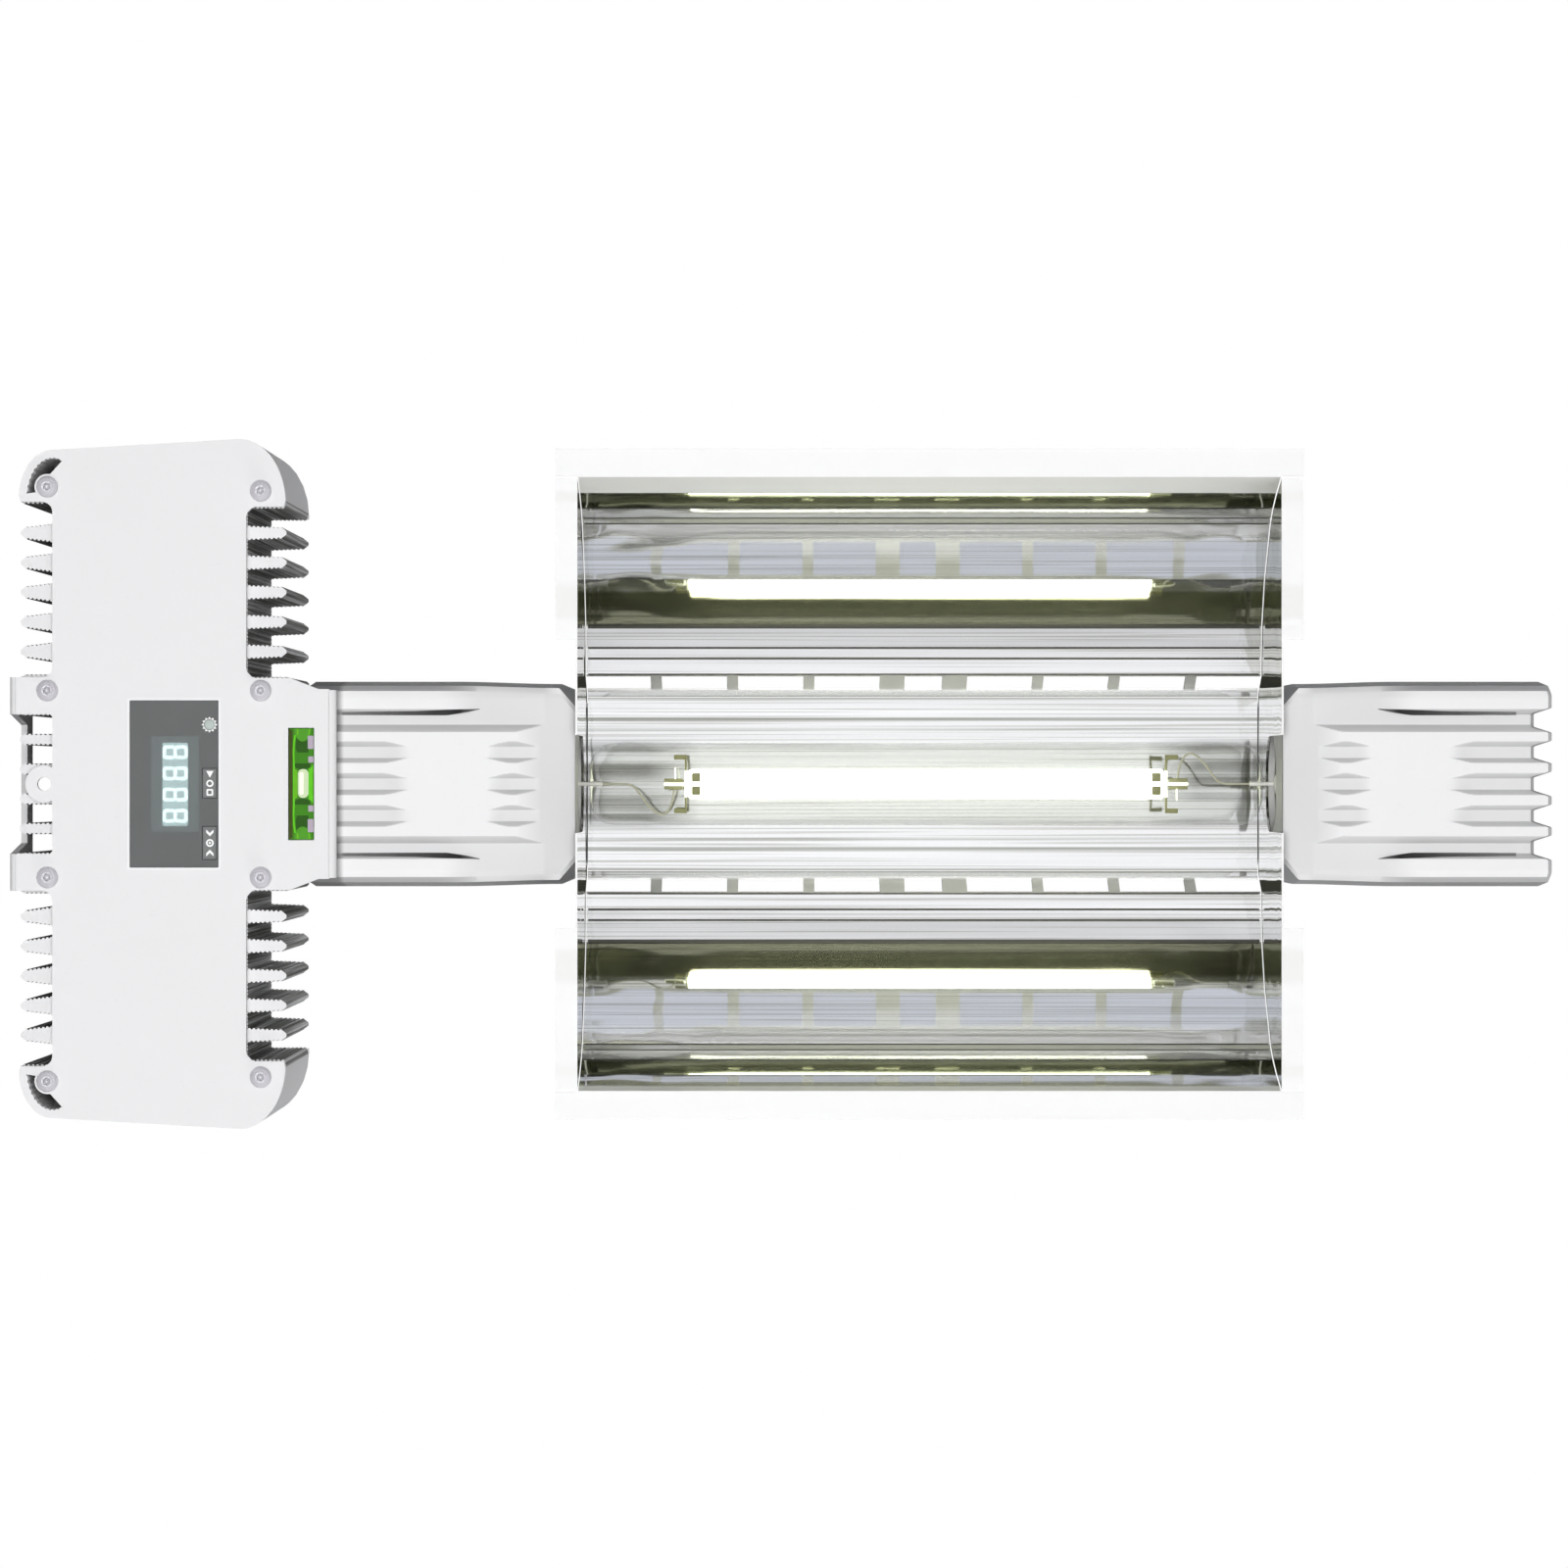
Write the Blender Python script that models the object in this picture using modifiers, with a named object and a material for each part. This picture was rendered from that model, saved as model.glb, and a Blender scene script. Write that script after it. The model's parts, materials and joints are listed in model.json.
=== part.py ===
"""Greenhouse grow light with a double-ended discharge lamp.

A finned ballast, two lamp arms and a faceted mirror reflector hang from one chassis beam.
Units are metres, +Z is up and the light leaves the reflector downwards.
The origin is on the beam's top face, above the middle of the lamp.
+X runs from the ballast, past the lamp, to the far arm.
"""

import math

import bmesh
import bpy
from mathutils import Matrix

OBJECT_NAME = "grow_light"

# Shared by the whole object
GAP = 0.0003
RIM_Z = -0.134
LAMP_RISE = 0.060
BODY_RISE = 0.118
LAMP_Z = RIM_Z + LAMP_RISE
BODY_TOP_Z = RIM_Z + BODY_RISE

# Chassis beam
BEAM_X = (-0.335, 0.2425)
BEAM_HALF_WIDTH = 0.033
BEAM_DEPTH = -BODY_TOP_Z - GAP
BEAM_WALL = 0.002
WIRE_HOLE_X = -0.3180
WIRE_HOLE_RADIUS = 0.0032
WIRE_RISE_X = 0.2200
WIRE_Y = 0.0080
WIRE_RADIUS = 0.0018
WIRE_RUN_Z = -0.0085

# Ballast
CORE_X = (-0.3400, -0.2649)
CAVITY_X = (-0.3350, -0.2700)
CAVITY_HALF_LENGTH = 0.1235
FIN_PITCH = 0.01153
FIN_FIRST = 0.0514
FIN_COUNT = 5
LEFT_FIN_TIP_X = -0.3528
RIGHT_FIN_TIP_X = -0.2496
SLIM_FIN_FIRST = 0.00577
SLIM_FIN_HALF = 0.0017
SLIM_FIN_TIP_X = -0.3531
PORT_BLOCK_X = -0.3472
RIGHT_BLOCK_Y = 0.0411
LEFT_CORNER = (-0.3399, 0.1109, 0.0131, 0.0186)
RIGHT_CORNER = (-0.2673, 0.1086, 0.0177, 0.0251)
LEFT_CORNER_FOOT_Y = 0.1094
RIGHT_CORNER_FOOT_Y = 0.1075
PLATE_THICKNESS = 0.003
EAR_Y = (0.0271, 0.0414)
FLAP_X = (-0.3566, -0.3542)
FLAP_RISE = 0.054
FLAP_NOTCH_HALF_WIDTHS = (0.0271, 0.0232)
FLAP_NOTCH_RISE = 0.0367
BOSS = (-0.3432, 0.0, 0.0072)
BOSS_HOLE_RADIUS = 0.00265
GASKET_THICKNESS = 0.0008
GROOVE_DEPTH = 0.002
SCREW_POINTS = ((-0.3419, 0.0362), (-0.3419, 0.1152), (-0.2592, 0.0362), (-0.2592, 0.1136))
SCREW_HEAD_RADIUS = 0.00415
SCREW_HEAD_HEIGHT = 0.0024
SCREW_SHANK_RADIUS = 0.00175
SCREW_SHANK_LENGTH = 0.012
SCREW_PORT_RADIUS = 0.0021
DRIVER_X = (-0.2778, -0.2762)
INLET_BODY = ((-0.3160, -0.2892), (0.0660, 0.0856))
INLET_FLANGE = 0.0022
INLET_DEPTH = 0.0180
PORT_X = (-0.3090, -0.2960)
PORTS_Y = {"control_port_in": (-0.0780, -0.0670), "control_port_out": (-0.0980, -0.0870)}
PORT_DEPTH = 0.0130

# Control window and spirit level in the ballast's lower plate
WINDOW_X = (-0.3100, -0.2756)
WINDOW_HALF_LENGTH = 0.0324
WINDOW_THICKNESS = 0.0025
WINDOW_RECESS = 0.0002
KEY_X = (-0.2818, -0.2764)
KEYS_Y = {"mode_key": (-0.0060, 0.0055), "select_key": (0.0165, 0.0292)}
KEY_TRAVEL = 0.0005
INDICATOR = (-0.2791, -0.0230, 0.0020)
DISPLAY_X = (-0.3020, -0.2838)
DISPLAY_HALF_LENGTH = 0.0185
DISPLAY_HEIGHT = 0.0022
BOARD_THICKNESS = 0.0016
LEVEL_X = (-0.2483, -0.2388)
LEVEL_HALF_LENGTH = 0.0215
LEVEL_HEIGHT = 0.0090

# Lamp arms
ARM_X = {"left": (-0.2493, -0.1376), "right": (0.1376, 0.2420)}
ARM_SECTION = ((0.0361, 0.005), (0.0382, 0.009), (0.0403, 0.040),
               (0.0403, 0.075), (0.0380, 0.108), (0.0340, BODY_RISE - GAP))
ARM_SPLIT_RISE = 0.032
ARM_WALL = 0.0025
NOSE_HALF_WIDTH = 0.0281
NOSE_SLOPE = 1.175
LAMP_HOLE_RADIUS = 0.0190

# Reflector
MOUTH_HALF = (0.1365, 0.1190)
FLANGE_HALF = (0.1450, 0.1300)
ARM_CLEARANCE_Y = 0.056
SHEET = 0.0008
SPINE_HALF_WIDTH = 0.0352
WING_FOLDS = ((0.0355, 0.1170), (0.0375, 0.1166), (0.0442, 0.1000), (0.0507, 0.0994),
              (0.0550, 0.0988), (0.0637, 0.0970), (0.0820, 0.0830), (0.1032, 0.0540),
              (0.1052, 0.0500), (0.1088, 0.0410), (0.1138, 0.0240), (MOUTH_HALF[1], SHEET))
SLOT_Y = (0.0365, 0.0460)
SLOT_RISE = (0.1018, 0.1150)
SLOT_PITCH = 0.0309
SLOT_LENGTH = 0.0264
MIDDLE_SLOT_LENGTH = 0.0152
SLOTS_EACH_SIDE = 4

# Lamp
ENVELOPE_RADIUS = 0.01635
ENVELOPE_HALF_LENGTH = 0.1335
ENVELOPE_WALL = 0.0014
ARC_RADIUS = 0.00585
ARC_HALF_LENGTH = 0.0949
ARC_PIN = (0.0009, 0.1028)
SEAL_RADIUS = 0.0060
SEAL_X = (0.1285, 0.1505)
LAMP_PIN = (0.0025, 0.1970)
LEAD_RADIUS = 0.00055
FRAME_HALF_WIDTH = 0.0114
FRAME_X = (0.0948, 0.1000)
HOLDER_X = (0.1520, 0.1892)
HOLDER_HALF_WIDTH = 0.0110
HOLDER_RISE = (0.0460, 0.0780)
CLIP_X = (0.1896, 0.1956)

# Hanging bails
HANGER_X = {"left": -0.300, "right": 0.190}
PIVOT_Z = 0.0054
BAIL_RADIUS = 0.0025
BAIL_HALF_WIDTH = 0.0195
BAIL_REACH = 0.058
LUG_Y = (0.0225, 0.0250)
LUG_HEIGHT = 0.0098
HANGER_LENGTH = 0.016
HANGER_BASE = 0.002
HANGER_SEAT = 0.001

# Name, colour, roughness, metallic
FINISHES = {
    "white_paint": ((0.86, 0.86, 0.86), 0.42, 0.0),
    "mirror_sheet": ((0.92, 0.93, 0.93), 0.06, 1.0),
    "screw_steel": ((0.72, 0.71, 0.76), 0.25, 1.0),
    "smoked_glass": ((0.13, 0.14, 0.14), 0.15, 0.0),
    "black_plastic": ((0.03, 0.03, 0.03), 0.45, 0.0),
    "circuit_board": ((0.03, 0.16, 0.08), 0.50, 0.0),
    "level_green": ((0.16, 0.72, 0.05), 0.10, 0.0),
    "quartz": ((0.92, 0.94, 0.93), 0.03, 0.0),
    "arc_white": ((1.00, 0.99, 0.90), 0.30, 0.0),
    "lamp_wire": ((0.55, 0.55, 0.52), 0.30, 1.0),
    "ceramic_white": ((0.88, 0.87, 0.83), 0.55, 0.0),
    "core_steel": ((0.28, 0.28, 0.30), 0.45, 1.0),
    "capacitor_sleeve": ((0.05, 0.07, 0.20), 0.35, 0.0),
    "silicone": ((0.75, 0.74, 0.70), 0.60, 0.0),
    "gasket_rubber": ((0.04, 0.04, 0.04), 0.80, 0.0),
}

ALONG_X = Matrix(((0, 0, 1, 0), (1, 0, 0, 0), (0, 1, 0, 0), (0, 0, 0, 1)))
ALONG_Z = Matrix.Identity(4)


def new_collection(name):
    made = bpy.data.collections.new(name)
    bpy.context.scene.collection.children.link(made)
    return made


def finish(name):
    """The named finish as a material, made once and then shared."""
    if name in bpy.data.materials:
        return bpy.data.materials[name]
    colour, roughness, metallic = FINISHES[name]
    material = bpy.data.materials.new(name)
    material.use_nodes = True
    shader = material.node_tree.nodes["Principled BSDF"]
    shader.inputs["Base Color"].default_value = (*colour, 1.0)
    shader.inputs["Roughness"].default_value = roughness
    shader.inputs["Metallic"].default_value = metallic
    return material


def place(name, mesh, look, matrix=ALONG_Z):
    """A mesh as a named part of the object; a look of None makes it a cutter."""
    part = bpy.data.objects.new(name, mesh)
    part.matrix_world = matrix
    if look is None:
        cutters.objects.link(part)
        part.hide_render = True
        part.display_type = "WIRE"
    else:
        parts.objects.link(part)
        mesh.materials.clear()
        mesh.materials.append(finish(look))
    return part


def welded(curve_object):
    """The curve object's evaluated shape as one closed mesh."""
    bpy.context.view_layer.update()
    depsgraph = bpy.context.evaluated_depsgraph_get()
    mesh = bpy.data.meshes.new_from_object(curve_object.evaluated_get(depsgraph))
    shape = bmesh.new()
    shape.from_mesh(mesh)
    bmesh.ops.remove_doubles(shape, verts=shape.verts, dist=1e-6)
    bmesh.ops.recalc_face_normals(shape, faces=shape.faces)
    shape.to_mesh(mesh)
    shape.free()
    curve = curve_object.data
    bpy.data.objects.remove(curve_object)
    bpy.data.curves.remove(curve)
    return mesh


def prism(name, look, loops, low, high, matrix=ALONG_Z):
    """A flat outline, its inner loops cut out, extruded from low to high along the matrix's Z."""
    curve = bpy.data.curves.new(name, "CURVE")
    curve.dimensions = "2D"
    curve.fill_mode = "BOTH"
    curve.extrude = (high - low) / 2
    for loop in loops:
        spline = curve.splines.new("POLY")
        spline.points.add(len(loop) - 1)
        spline.use_cyclic_u = True
        for point, (x, y) in zip(spline.points, loop):
            point.co = (x, y, 0, 1)
    outline = bpy.data.objects.new(name, curve)
    parts.objects.link(outline)
    mesh = welded(outline)
    return place(name, mesh, look, matrix @ Matrix.Translation((0, 0, (low + high) / 2)))


def box(name, look, x, y, z, bevel=0.0):
    """A block between the low and high values of x, y and z."""
    mesh = bpy.data.meshes.new(name)
    shape = bmesh.new()
    bmesh.ops.create_cube(shape, size=1.0)
    bmesh.ops.scale(shape, verts=shape.verts, vec=(x[1] - x[0], y[1] - y[0], z[1] - z[0]))
    shape.to_mesh(mesh)
    shape.free()
    centre = ((x[0] + x[1]) / 2, (y[0] + y[1]) / 2, (z[0] + z[1]) / 2)
    part = place(name, mesh, look, Matrix.Translation(centre))
    if bevel:
        rounding = part.modifiers.new("Rounded edges", "BEVEL")
        rounding.width = bevel
        rounding.segments = 2
    return part


def turned(name, look, profile, matrix, steps=24):
    """A profile of (radius, height) points, from top to bottom, turned about the matrix's Z."""
    mesh = bpy.data.meshes.new(name)
    shape = bmesh.new()
    points = [shape.verts.new((radius, 0, height)) for radius, height in profile]
    for first, second in zip(points, points[1:]):
        shape.edges.new((first, second))
    if profile[0][0] > 0:
        shape.edges.new((points[-1], points[0]))
    shape.to_mesh(mesh)
    shape.free()
    part = place(name, mesh, look, matrix)
    screw = part.modifiers.new("Turning", "SCREW")
    screw.steps = steps
    screw.render_steps = steps
    screw.use_merge_vertices = True
    screw.merge_threshold = 0.00001
    return part


def wire(name, look, points, radius, matrix=ALONG_Z):
    """A round wire along the points, with filled ends."""
    curve = bpy.data.curves.new(name, "CURVE")
    curve.dimensions = "3D"
    curve.bevel_depth = radius
    curve.bevel_resolution = 2
    curve.use_fill_caps = True
    spline = curve.splines.new("POLY")
    spline.points.add(len(points) - 1)
    for point, place_of_point in zip(spline.points, points):
        point.co = (*place_of_point, 1)
    line = bpy.data.objects.new(name, curve)
    parts.objects.link(line)
    return place(name, welded(line), look, matrix)


def cut(part, tool, operation="DIFFERENCE"):
    """Cuts the part with the tool, or joins or crops it."""
    boolean = part.modifiers.new(tool.name, "BOOLEAN")
    boolean.operation = operation
    boolean.object = tool
    return part


def mirrored(half):
    """A half outline on the +Y side, closed by its mirror image on the -Y side."""
    return half + [(x, -y) for x, y in reversed(half) if y > 1e-6]


def mirrored_section(half):
    """The +Y half of a section of (y, z) points, closed by its mirror image."""
    return half + [(-y, z) for y, z in reversed(half) if y > 1e-6]


def arc(centre_x, centre_y, radius_x, radius_y, start, end, steps):
    """Points on an ellipse from the start angle to the end angle, in degrees."""
    angles = [math.radians(start + (end - start) * i / steps) for i in range(steps + 1)]
    return [(centre_x + radius_x * math.cos(a), centre_y + radius_y * math.sin(a)) for a in angles]


def circle(x, y, radius, steps=12):
    return arc(x, y, radius, radius, 0, 360 - 360 / steps, steps - 1)


def rectangle(x, y):
    return [(x[0], y[0]), (x[1], y[0]), (x[1], y[1]), (x[0], y[1])]


def both_sides(loop):
    """A loop on the +Y side and its mirror image."""
    return [loop, [(x, -y) for x, y in loop]]


def filleted(points, radius, steps=4):
    """The points joined by straight runs, with each corner rounded."""
    path = [points[0]]
    for before, corner, after in zip(points, points[1:], points[2:]):
        entry, leave = (
            [c + (e - c) * min(radius / math.dist(corner, end), 0.5) for c, e in zip(corner, end)]
            for end in (before, after)
        )
        for i in range(steps + 1):
            t = i / steps
            path.append([
                (1 - t) ** 2 * a + 2 * t * (1 - t) * c + t * t * b
                for a, c, b in zip(entry, corner, leave)
            ])
    return path + [points[-1]]


# ---------------------------------------------------------------- ballast

def fin_rows(root_x, tip_x, root_half, tip_half, upwards):
    """The outline of one group of fins, from the inner fin to the outer one or back."""
    points = []
    for i in range(FIN_COUNT):
        y = FIN_FIRST + FIN_PITCH * i
        points += [(root_x, y - root_half), (tip_x, y - tip_half),
                   (tip_x, y + tip_half), (root_x, y + root_half)]
    return points if upwards else points[::-1]


def slim_fins():
    """The slim left fins behind the ears, from the outer one in, with a block for a screw port."""
    points = []
    for i in (3, 2, 1, 0):
        y = SLIM_FIN_FIRST + FIN_PITCH * i
        outer_root = PORT_BLOCK_X if i == 2 else CORE_X[0]
        inner_root = PORT_BLOCK_X if i == 3 else CORE_X[0]
        points += [(outer_root, y + SLIM_FIN_HALF), (SLIM_FIN_TIP_X, y + SLIM_FIN_HALF),
                   (SLIM_FIN_TIP_X, y - SLIM_FIN_HALF), (inner_root, y - SLIM_FIN_HALF)]
    return points


def body_outline(fins):
    """The +Y half of the ballast's outline, from the right block round to the left side."""
    right_tip, left_tip = RIGHT_FIN_TIP_X, LEFT_CORNER[0] - LEFT_CORNER[2]
    half = [(CORE_X[1], RIGHT_BLOCK_Y)]
    if fins:
        half += fin_rows(CORE_X[1], right_tip, 0.0023, 0.0017, True)
    half += [(CORE_X[1], RIGHT_CORNER_FOOT_Y), (right_tip, RIGHT_CORNER_FOOT_Y)]
    half += arc(*RIGHT_CORNER, 0, 90, 6)
    half += arc(*LEFT_CORNER, 90, 180, 6)
    half += [(left_tip, LEFT_CORNER_FOOT_Y), (CORE_X[0], LEFT_CORNER_FOOT_Y)]
    if fins:
        half += fin_rows(CORE_X[0], LEFT_FIN_TIP_X, 0.0032, 0.0018, False) + slim_fins()
    return half


def corner_cell():
    """The open pocket in a left corner block, round the screw port."""
    x, y, radius_x, radius_y = LEFT_CORNER
    wall = 0.0030
    port_x, port_y = SCREW_POINTS[1]
    outer = arc(x, y, radius_x - wall, radius_y - wall, 68, 174, 6)
    return outer + arc(port_x, port_y, 0.0050, 0.0050, 205, 78, 4)


def port_circles(points=SCREW_POINTS):
    return [loop for x, y in points for loop in both_sides(circle(x, y, SCREW_PORT_RADIUS))]


def cavity_loop():
    """The ballast's inside, with a groove at each end that holds the driver board."""
    groove_x = (DRIVER_X[0] - 0.0005, DRIVER_X[1] + 0.0005)
    deep = CAVITY_HALF_LENGTH + GROOVE_DEPTH
    half = [(CAVITY_X[1], CAVITY_HALF_LENGTH), (groove_x[1], CAVITY_HALF_LENGTH),
            (groove_x[1], deep), (groove_x[0], deep),
            (groove_x[0], CAVITY_HALF_LENGTH), (CAVITY_X[0], CAVITY_HALF_LENGTH)]
    return mirrored(half)


def ballast_extrusion():
    low = RIM_Z + PLATE_THICKNESS + GASKET_THICKNESS + 2 * GAP
    high = BODY_TOP_Z - PLATE_THICKNESS - GAP
    outer = mirrored([(RIGHT_FIN_TIP_X, RIGHT_BLOCK_Y)] + body_outline(fins=True))
    right_cell = rectangle((CORE_X[1] + 0.0025, RIGHT_FIN_TIP_X - 0.0025), (-0.028, 0.028))
    loops = [outer, cavity_loop(), right_cell] + both_sides(corner_cell()) + port_circles()
    prism("ballast_extrusion", "white_paint", loops, low, high)


def bottom_plate():
    """The lower plate: window, level, a tongue over the arm's root and ears folded to a flap."""
    tongue = [(-0.2300, 0.0368), (-0.2369, 0.0368), (-0.2479, RIGHT_BLOCK_Y)]
    ear_x = sum(FLAP_X) / 2
    ear = [(CORE_X[0], EAR_Y[1]), (ear_x, EAR_Y[1]), (ear_x, EAR_Y[0]), (CORE_X[0], EAR_Y[0]),
           (CORE_X[0], 0.0065)]
    boss = arc(*BOSS[:2], BOSS[2], BOSS[2], 75, 180, 6)
    outer = mirrored(tongue + body_outline(fins=False) + ear + boss)
    window = rectangle((WINDOW_X[0] - GAP, WINDOW_X[1] + GAP),
                       (-WINDOW_HALF_LENGTH - GAP, WINDOW_HALF_LENGTH + GAP))
    level = rectangle((LEVEL_X[0] - GAP, LEVEL_X[1] + GAP),
                      (-LEVEL_HALF_LENGTH - GAP, LEVEL_HALF_LENGTH + GAP))
    loops = [outer, window, level, circle(*BOSS[:2], BOSS_HOLE_RADIUS)]
    loops += both_sides(corner_cell()) + port_circles()
    plate = prism("bottom_plate", "white_paint", loops, RIM_Z, RIM_Z + PLATE_THICKNESS)
    wide, narrow = FLAP_NOTCH_HALF_WIDTHS
    fold = RIM_Z + 0.0005
    flap = [(EAR_Y[1] - 0.0004, RIM_Z + FLAP_RISE), (EAR_Y[1] - 0.0004, fold), (wide + 0.0001, fold),
            (narrow, RIM_Z + FLAP_NOTCH_RISE)]
    cut(plate, prism("flap", None, [mirrored_section(flap)], *FLAP_X, ALONG_X), "UNION")


def top_plate():
    """The upper plate, with the mains inlet, two control ports and two wire holes."""
    block = [(RIGHT_FIN_TIP_X, RIGHT_BLOCK_Y)]
    outer = mirrored(block + body_outline(fins=False))
    loops = [outer] + port_circles(SCREW_POINTS[1::2])
    loops += [circle(WIRE_HOLE_X, y, WIRE_HOLE_RADIUS) for y in (-WIRE_Y, WIRE_Y)]
    loops.append(rectangle(grown(INLET_BODY[0]), grown(INLET_BODY[1])))
    loops += [rectangle(grown(PORT_X), grown(y)) for y in PORTS_Y.values()]
    prism("top_plate", "white_paint", loops, BODY_TOP_Z - PLATE_THICKNESS, BODY_TOP_Z)


def grown(span, by=GAP):
    return (span[0] - by, span[1] + by)


def plate_gasket():
    edge = 0.0004
    outer = mirrored([(CORE_X[1] - edge, 0.1255), (CORE_X[0] + edge, 0.1255)])
    inner = mirrored([(CAVITY_X[1] - edge, 0.1220), (CAVITY_X[0] + edge, 0.1220)])
    low = RIM_Z + PLATE_THICKNESS + GAP
    prism("plate_gasket", "gasket_rubber", [outer, inner], low, low + GASKET_THICKNESS)


def plate_screw(name, x, y, seat_z, facing):
    """A pan-head screw whose head sits on the plate, facing +1 up or -1 down."""
    head, shank = SCREW_HEAD_RADIUS, SCREW_SHANK_RADIUS
    profile = [(0, SCREW_HEAD_HEIGHT + GAP), (head * 0.62, SCREW_HEAD_HEIGHT + GAP),
               (head, SCREW_HEAD_HEIGHT * 0.45 + GAP), (head, GAP), (shank, GAP),
               (shank, -SCREW_SHANK_LENGTH), (0, -SCREW_SHANK_LENGTH)]
    turn = Matrix.Rotation(0 if facing > 0 else math.pi, 4, "X")
    turned(name, "screw_steel", profile, Matrix.Translation((x, y, seat_z)) @ turn, steps=12)


def plate_screws():
    sides = [(x, sign * y) for x, y in SCREW_POINTS for sign in (-1, 1)]
    for number, (x, y) in enumerate(sides, 1):
        plate_screw(f"bottom_screw_{number}", x, y, RIM_Z, -1)
    corners = [(x, sign * y) for x, y in SCREW_POINTS[1::2] for sign in (-1, 1)]
    for number, (x, y) in enumerate(corners, 1):
        plate_screw(f"top_screw_{number}", x, y, BODY_TOP_Z, 1)


def control_window():
    """The smoked window with its indicator lens, and two keys that press straight in."""
    low = RIM_Z + WINDOW_RECESS
    loops = [rectangle(WINDOW_X, (-WINDOW_HALF_LENGTH, WINDOW_HALF_LENGTH))]
    loops += [rectangle(grown(KEY_X), grown(y)) for y in KEYS_Y.values()]
    x, y, radius = INDICATOR
    loops.append(circle(x, y, radius + GAP))
    prism("display_window", "smoked_glass", loops, low, low + WINDOW_THICKNESS)
    prism("indicator_lens", "quartz", [circle(x, y, radius)], low, low + WINDOW_THICKNESS)
    display_low = low + WINDOW_THICKNESS + GAP
    box("digit_display", "black_plastic", DISPLAY_X, (-DISPLAY_HALF_LENGTH, DISPLAY_HALF_LENGTH),
        (display_low, display_low + DISPLAY_HEIGHT), bevel=0.0002)
    board_low = display_low + DISPLAY_HEIGHT + GAP
    box("display_board", "circuit_board", WINDOW_X, (-0.0300, 0.0310),
        (board_low, board_low + BOARD_THICKNESS))
    for name, span in KEYS_Y.items():
        box(name, "smoked_glass", KEY_X, span, (low, board_low - KEY_TRAVEL - GAP))


def spirit_level():
    low = RIM_Z + WINDOW_RECESS
    box("level_vial", "level_green", LEVEL_X, (-LEVEL_HALF_LENGTH, LEVEL_HALF_LENGTH),
        (low, low + LEVEL_HEIGHT), bevel=0.0006)


def driver_electronics():
    """The driver board, standing in its grooves, with the parts on its inner face."""
    low, high = RIM_Z + 0.016, RIM_Z + 0.110
    reach = CAVITY_HALF_LENGTH + GROOVE_DEPTH - GAP
    box("driver_board", "circuit_board", DRIVER_X, (-reach, reach), (low, high))
    face = DRIVER_X[0] - GAP
    middle = RIM_Z + 0.064
    core = box("power_transformer", "core_steel", (face - 0.034, face), (-0.048, 0.000),
               (middle - 0.021, middle + 0.021))
    winding = box("winding_block", None, (face - 0.038, face - 0.008), (-0.042, -0.006),
                  (middle - 0.028, middle + 0.028))
    cut(core, winding, "UNION")
    choke = Matrix.Translation((face - 0.008, 0.030, middle)) @ ALONG_X
    ring = arc(0.0125, 0, 0.0062, 0.0078, 90, -255, 11)
    turned("filter_choke", "core_steel", ring, choke)
    for number, y in enumerate((0.066, 0.094, -0.082), 1):
        can = Matrix.Translation((face - 0.040, y, middle)) @ ALONG_X.inverted().transposed()
        profile = [(0, 0.040), (0.0125, 0.040), (0.0125, 0.001), (0.0115, 0), (0, 0)]
        turned(f"capacitor_{number}", "capacitor_sleeve", profile, can, steps=16)


def mains_inlet():
    """A recessed three-blade appliance inlet that faces up."""
    x, y = INLET_BODY
    top = BODY_TOP_Z + GAP + INLET_FLANGE
    inlet = box("mains_inlet", "black_plastic", (x[0] - 0.002, x[1] + 0.002),
                (y[0] - 0.002, y[1] + 0.002), (BODY_TOP_Z + GAP, top))
    body = box("inlet_body", None, x, y, (top - INLET_DEPTH, top - 0.001))
    recess = box("inlet_recess_cutter", None, grown(x, -0.0015), grown(y, -0.0015),
                 (top - INLET_DEPTH + 0.002, top + 0.001))
    cut(inlet, body, "UNION")
    cut(inlet, recess)
    middle_x, middle_y = sum(x) / 2, sum(y) / 2
    for number, (dx, dy) in enumerate(((-0.007, 0.002), (0.007, 0.002), (0.0, -0.002)), 1):
        blade = box(f"inlet_blade_{number}", None, (middle_x + dx - 0.001, middle_x + dx + 0.001),
                    (middle_y + dy - 0.002, middle_y + dy + 0.002),
                    (top - INLET_DEPTH + 0.001, top - 0.0085))
        cut(inlet, blade, "UNION")


def control_ports():
    top = BODY_TOP_Z + 0.0015
    for name, y in PORTS_Y.items():
        port = box(name, "black_plastic", PORT_X, y, (top - PORT_DEPTH, top))
        cut(port, box(f"{name}_cutter", None, grown(PORT_X, -0.0017), grown(y, -0.0020),
                      (top - PORT_DEPTH + 0.0015, top + 0.001)))


# ---------------------------------------------------------------- chassis and arms

def chassis_beam():
    outer, inner = BEAM_HALF_WIDTH, BEAM_HALF_WIDTH - BEAM_WALL
    foot = -BEAM_DEPTH
    channel = [(-outer, foot), (-outer, 0), (outer, 0), (outer, foot),
               (inner, foot), (inner, -BEAM_WALL), (-inner, -BEAM_WALL), (-inner, foot)]
    beam = prism("chassis_beam", "white_paint", [channel], *BEAM_X, ALONG_X)
    for side, x in HANGER_X.items():
        reach = HANGER_LENGTH / 2 + GAP
        cut(beam, box(f"{side}_hanger_seat_cutter", None, (x - reach, x + reach),
                      (-LUG_Y[1] - GAP, LUG_Y[1] + GAP), (-HANGER_SEAT, HANGER_SEAT)))


def arm_loop(low, high, inset):
    """The arm's section between two rises above the rim, its walls moved in by inset."""
    right = [(y - inset, RIM_Z + rise) for y, rise in ARM_SECTION if low < rise < high]
    for rise in (low, high):
        edge = (section_half_width(rise) - inset, RIM_Z + rise)
        right = [edge] + right if rise == low else right + [edge]
    return mirrored_section(right)


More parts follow.
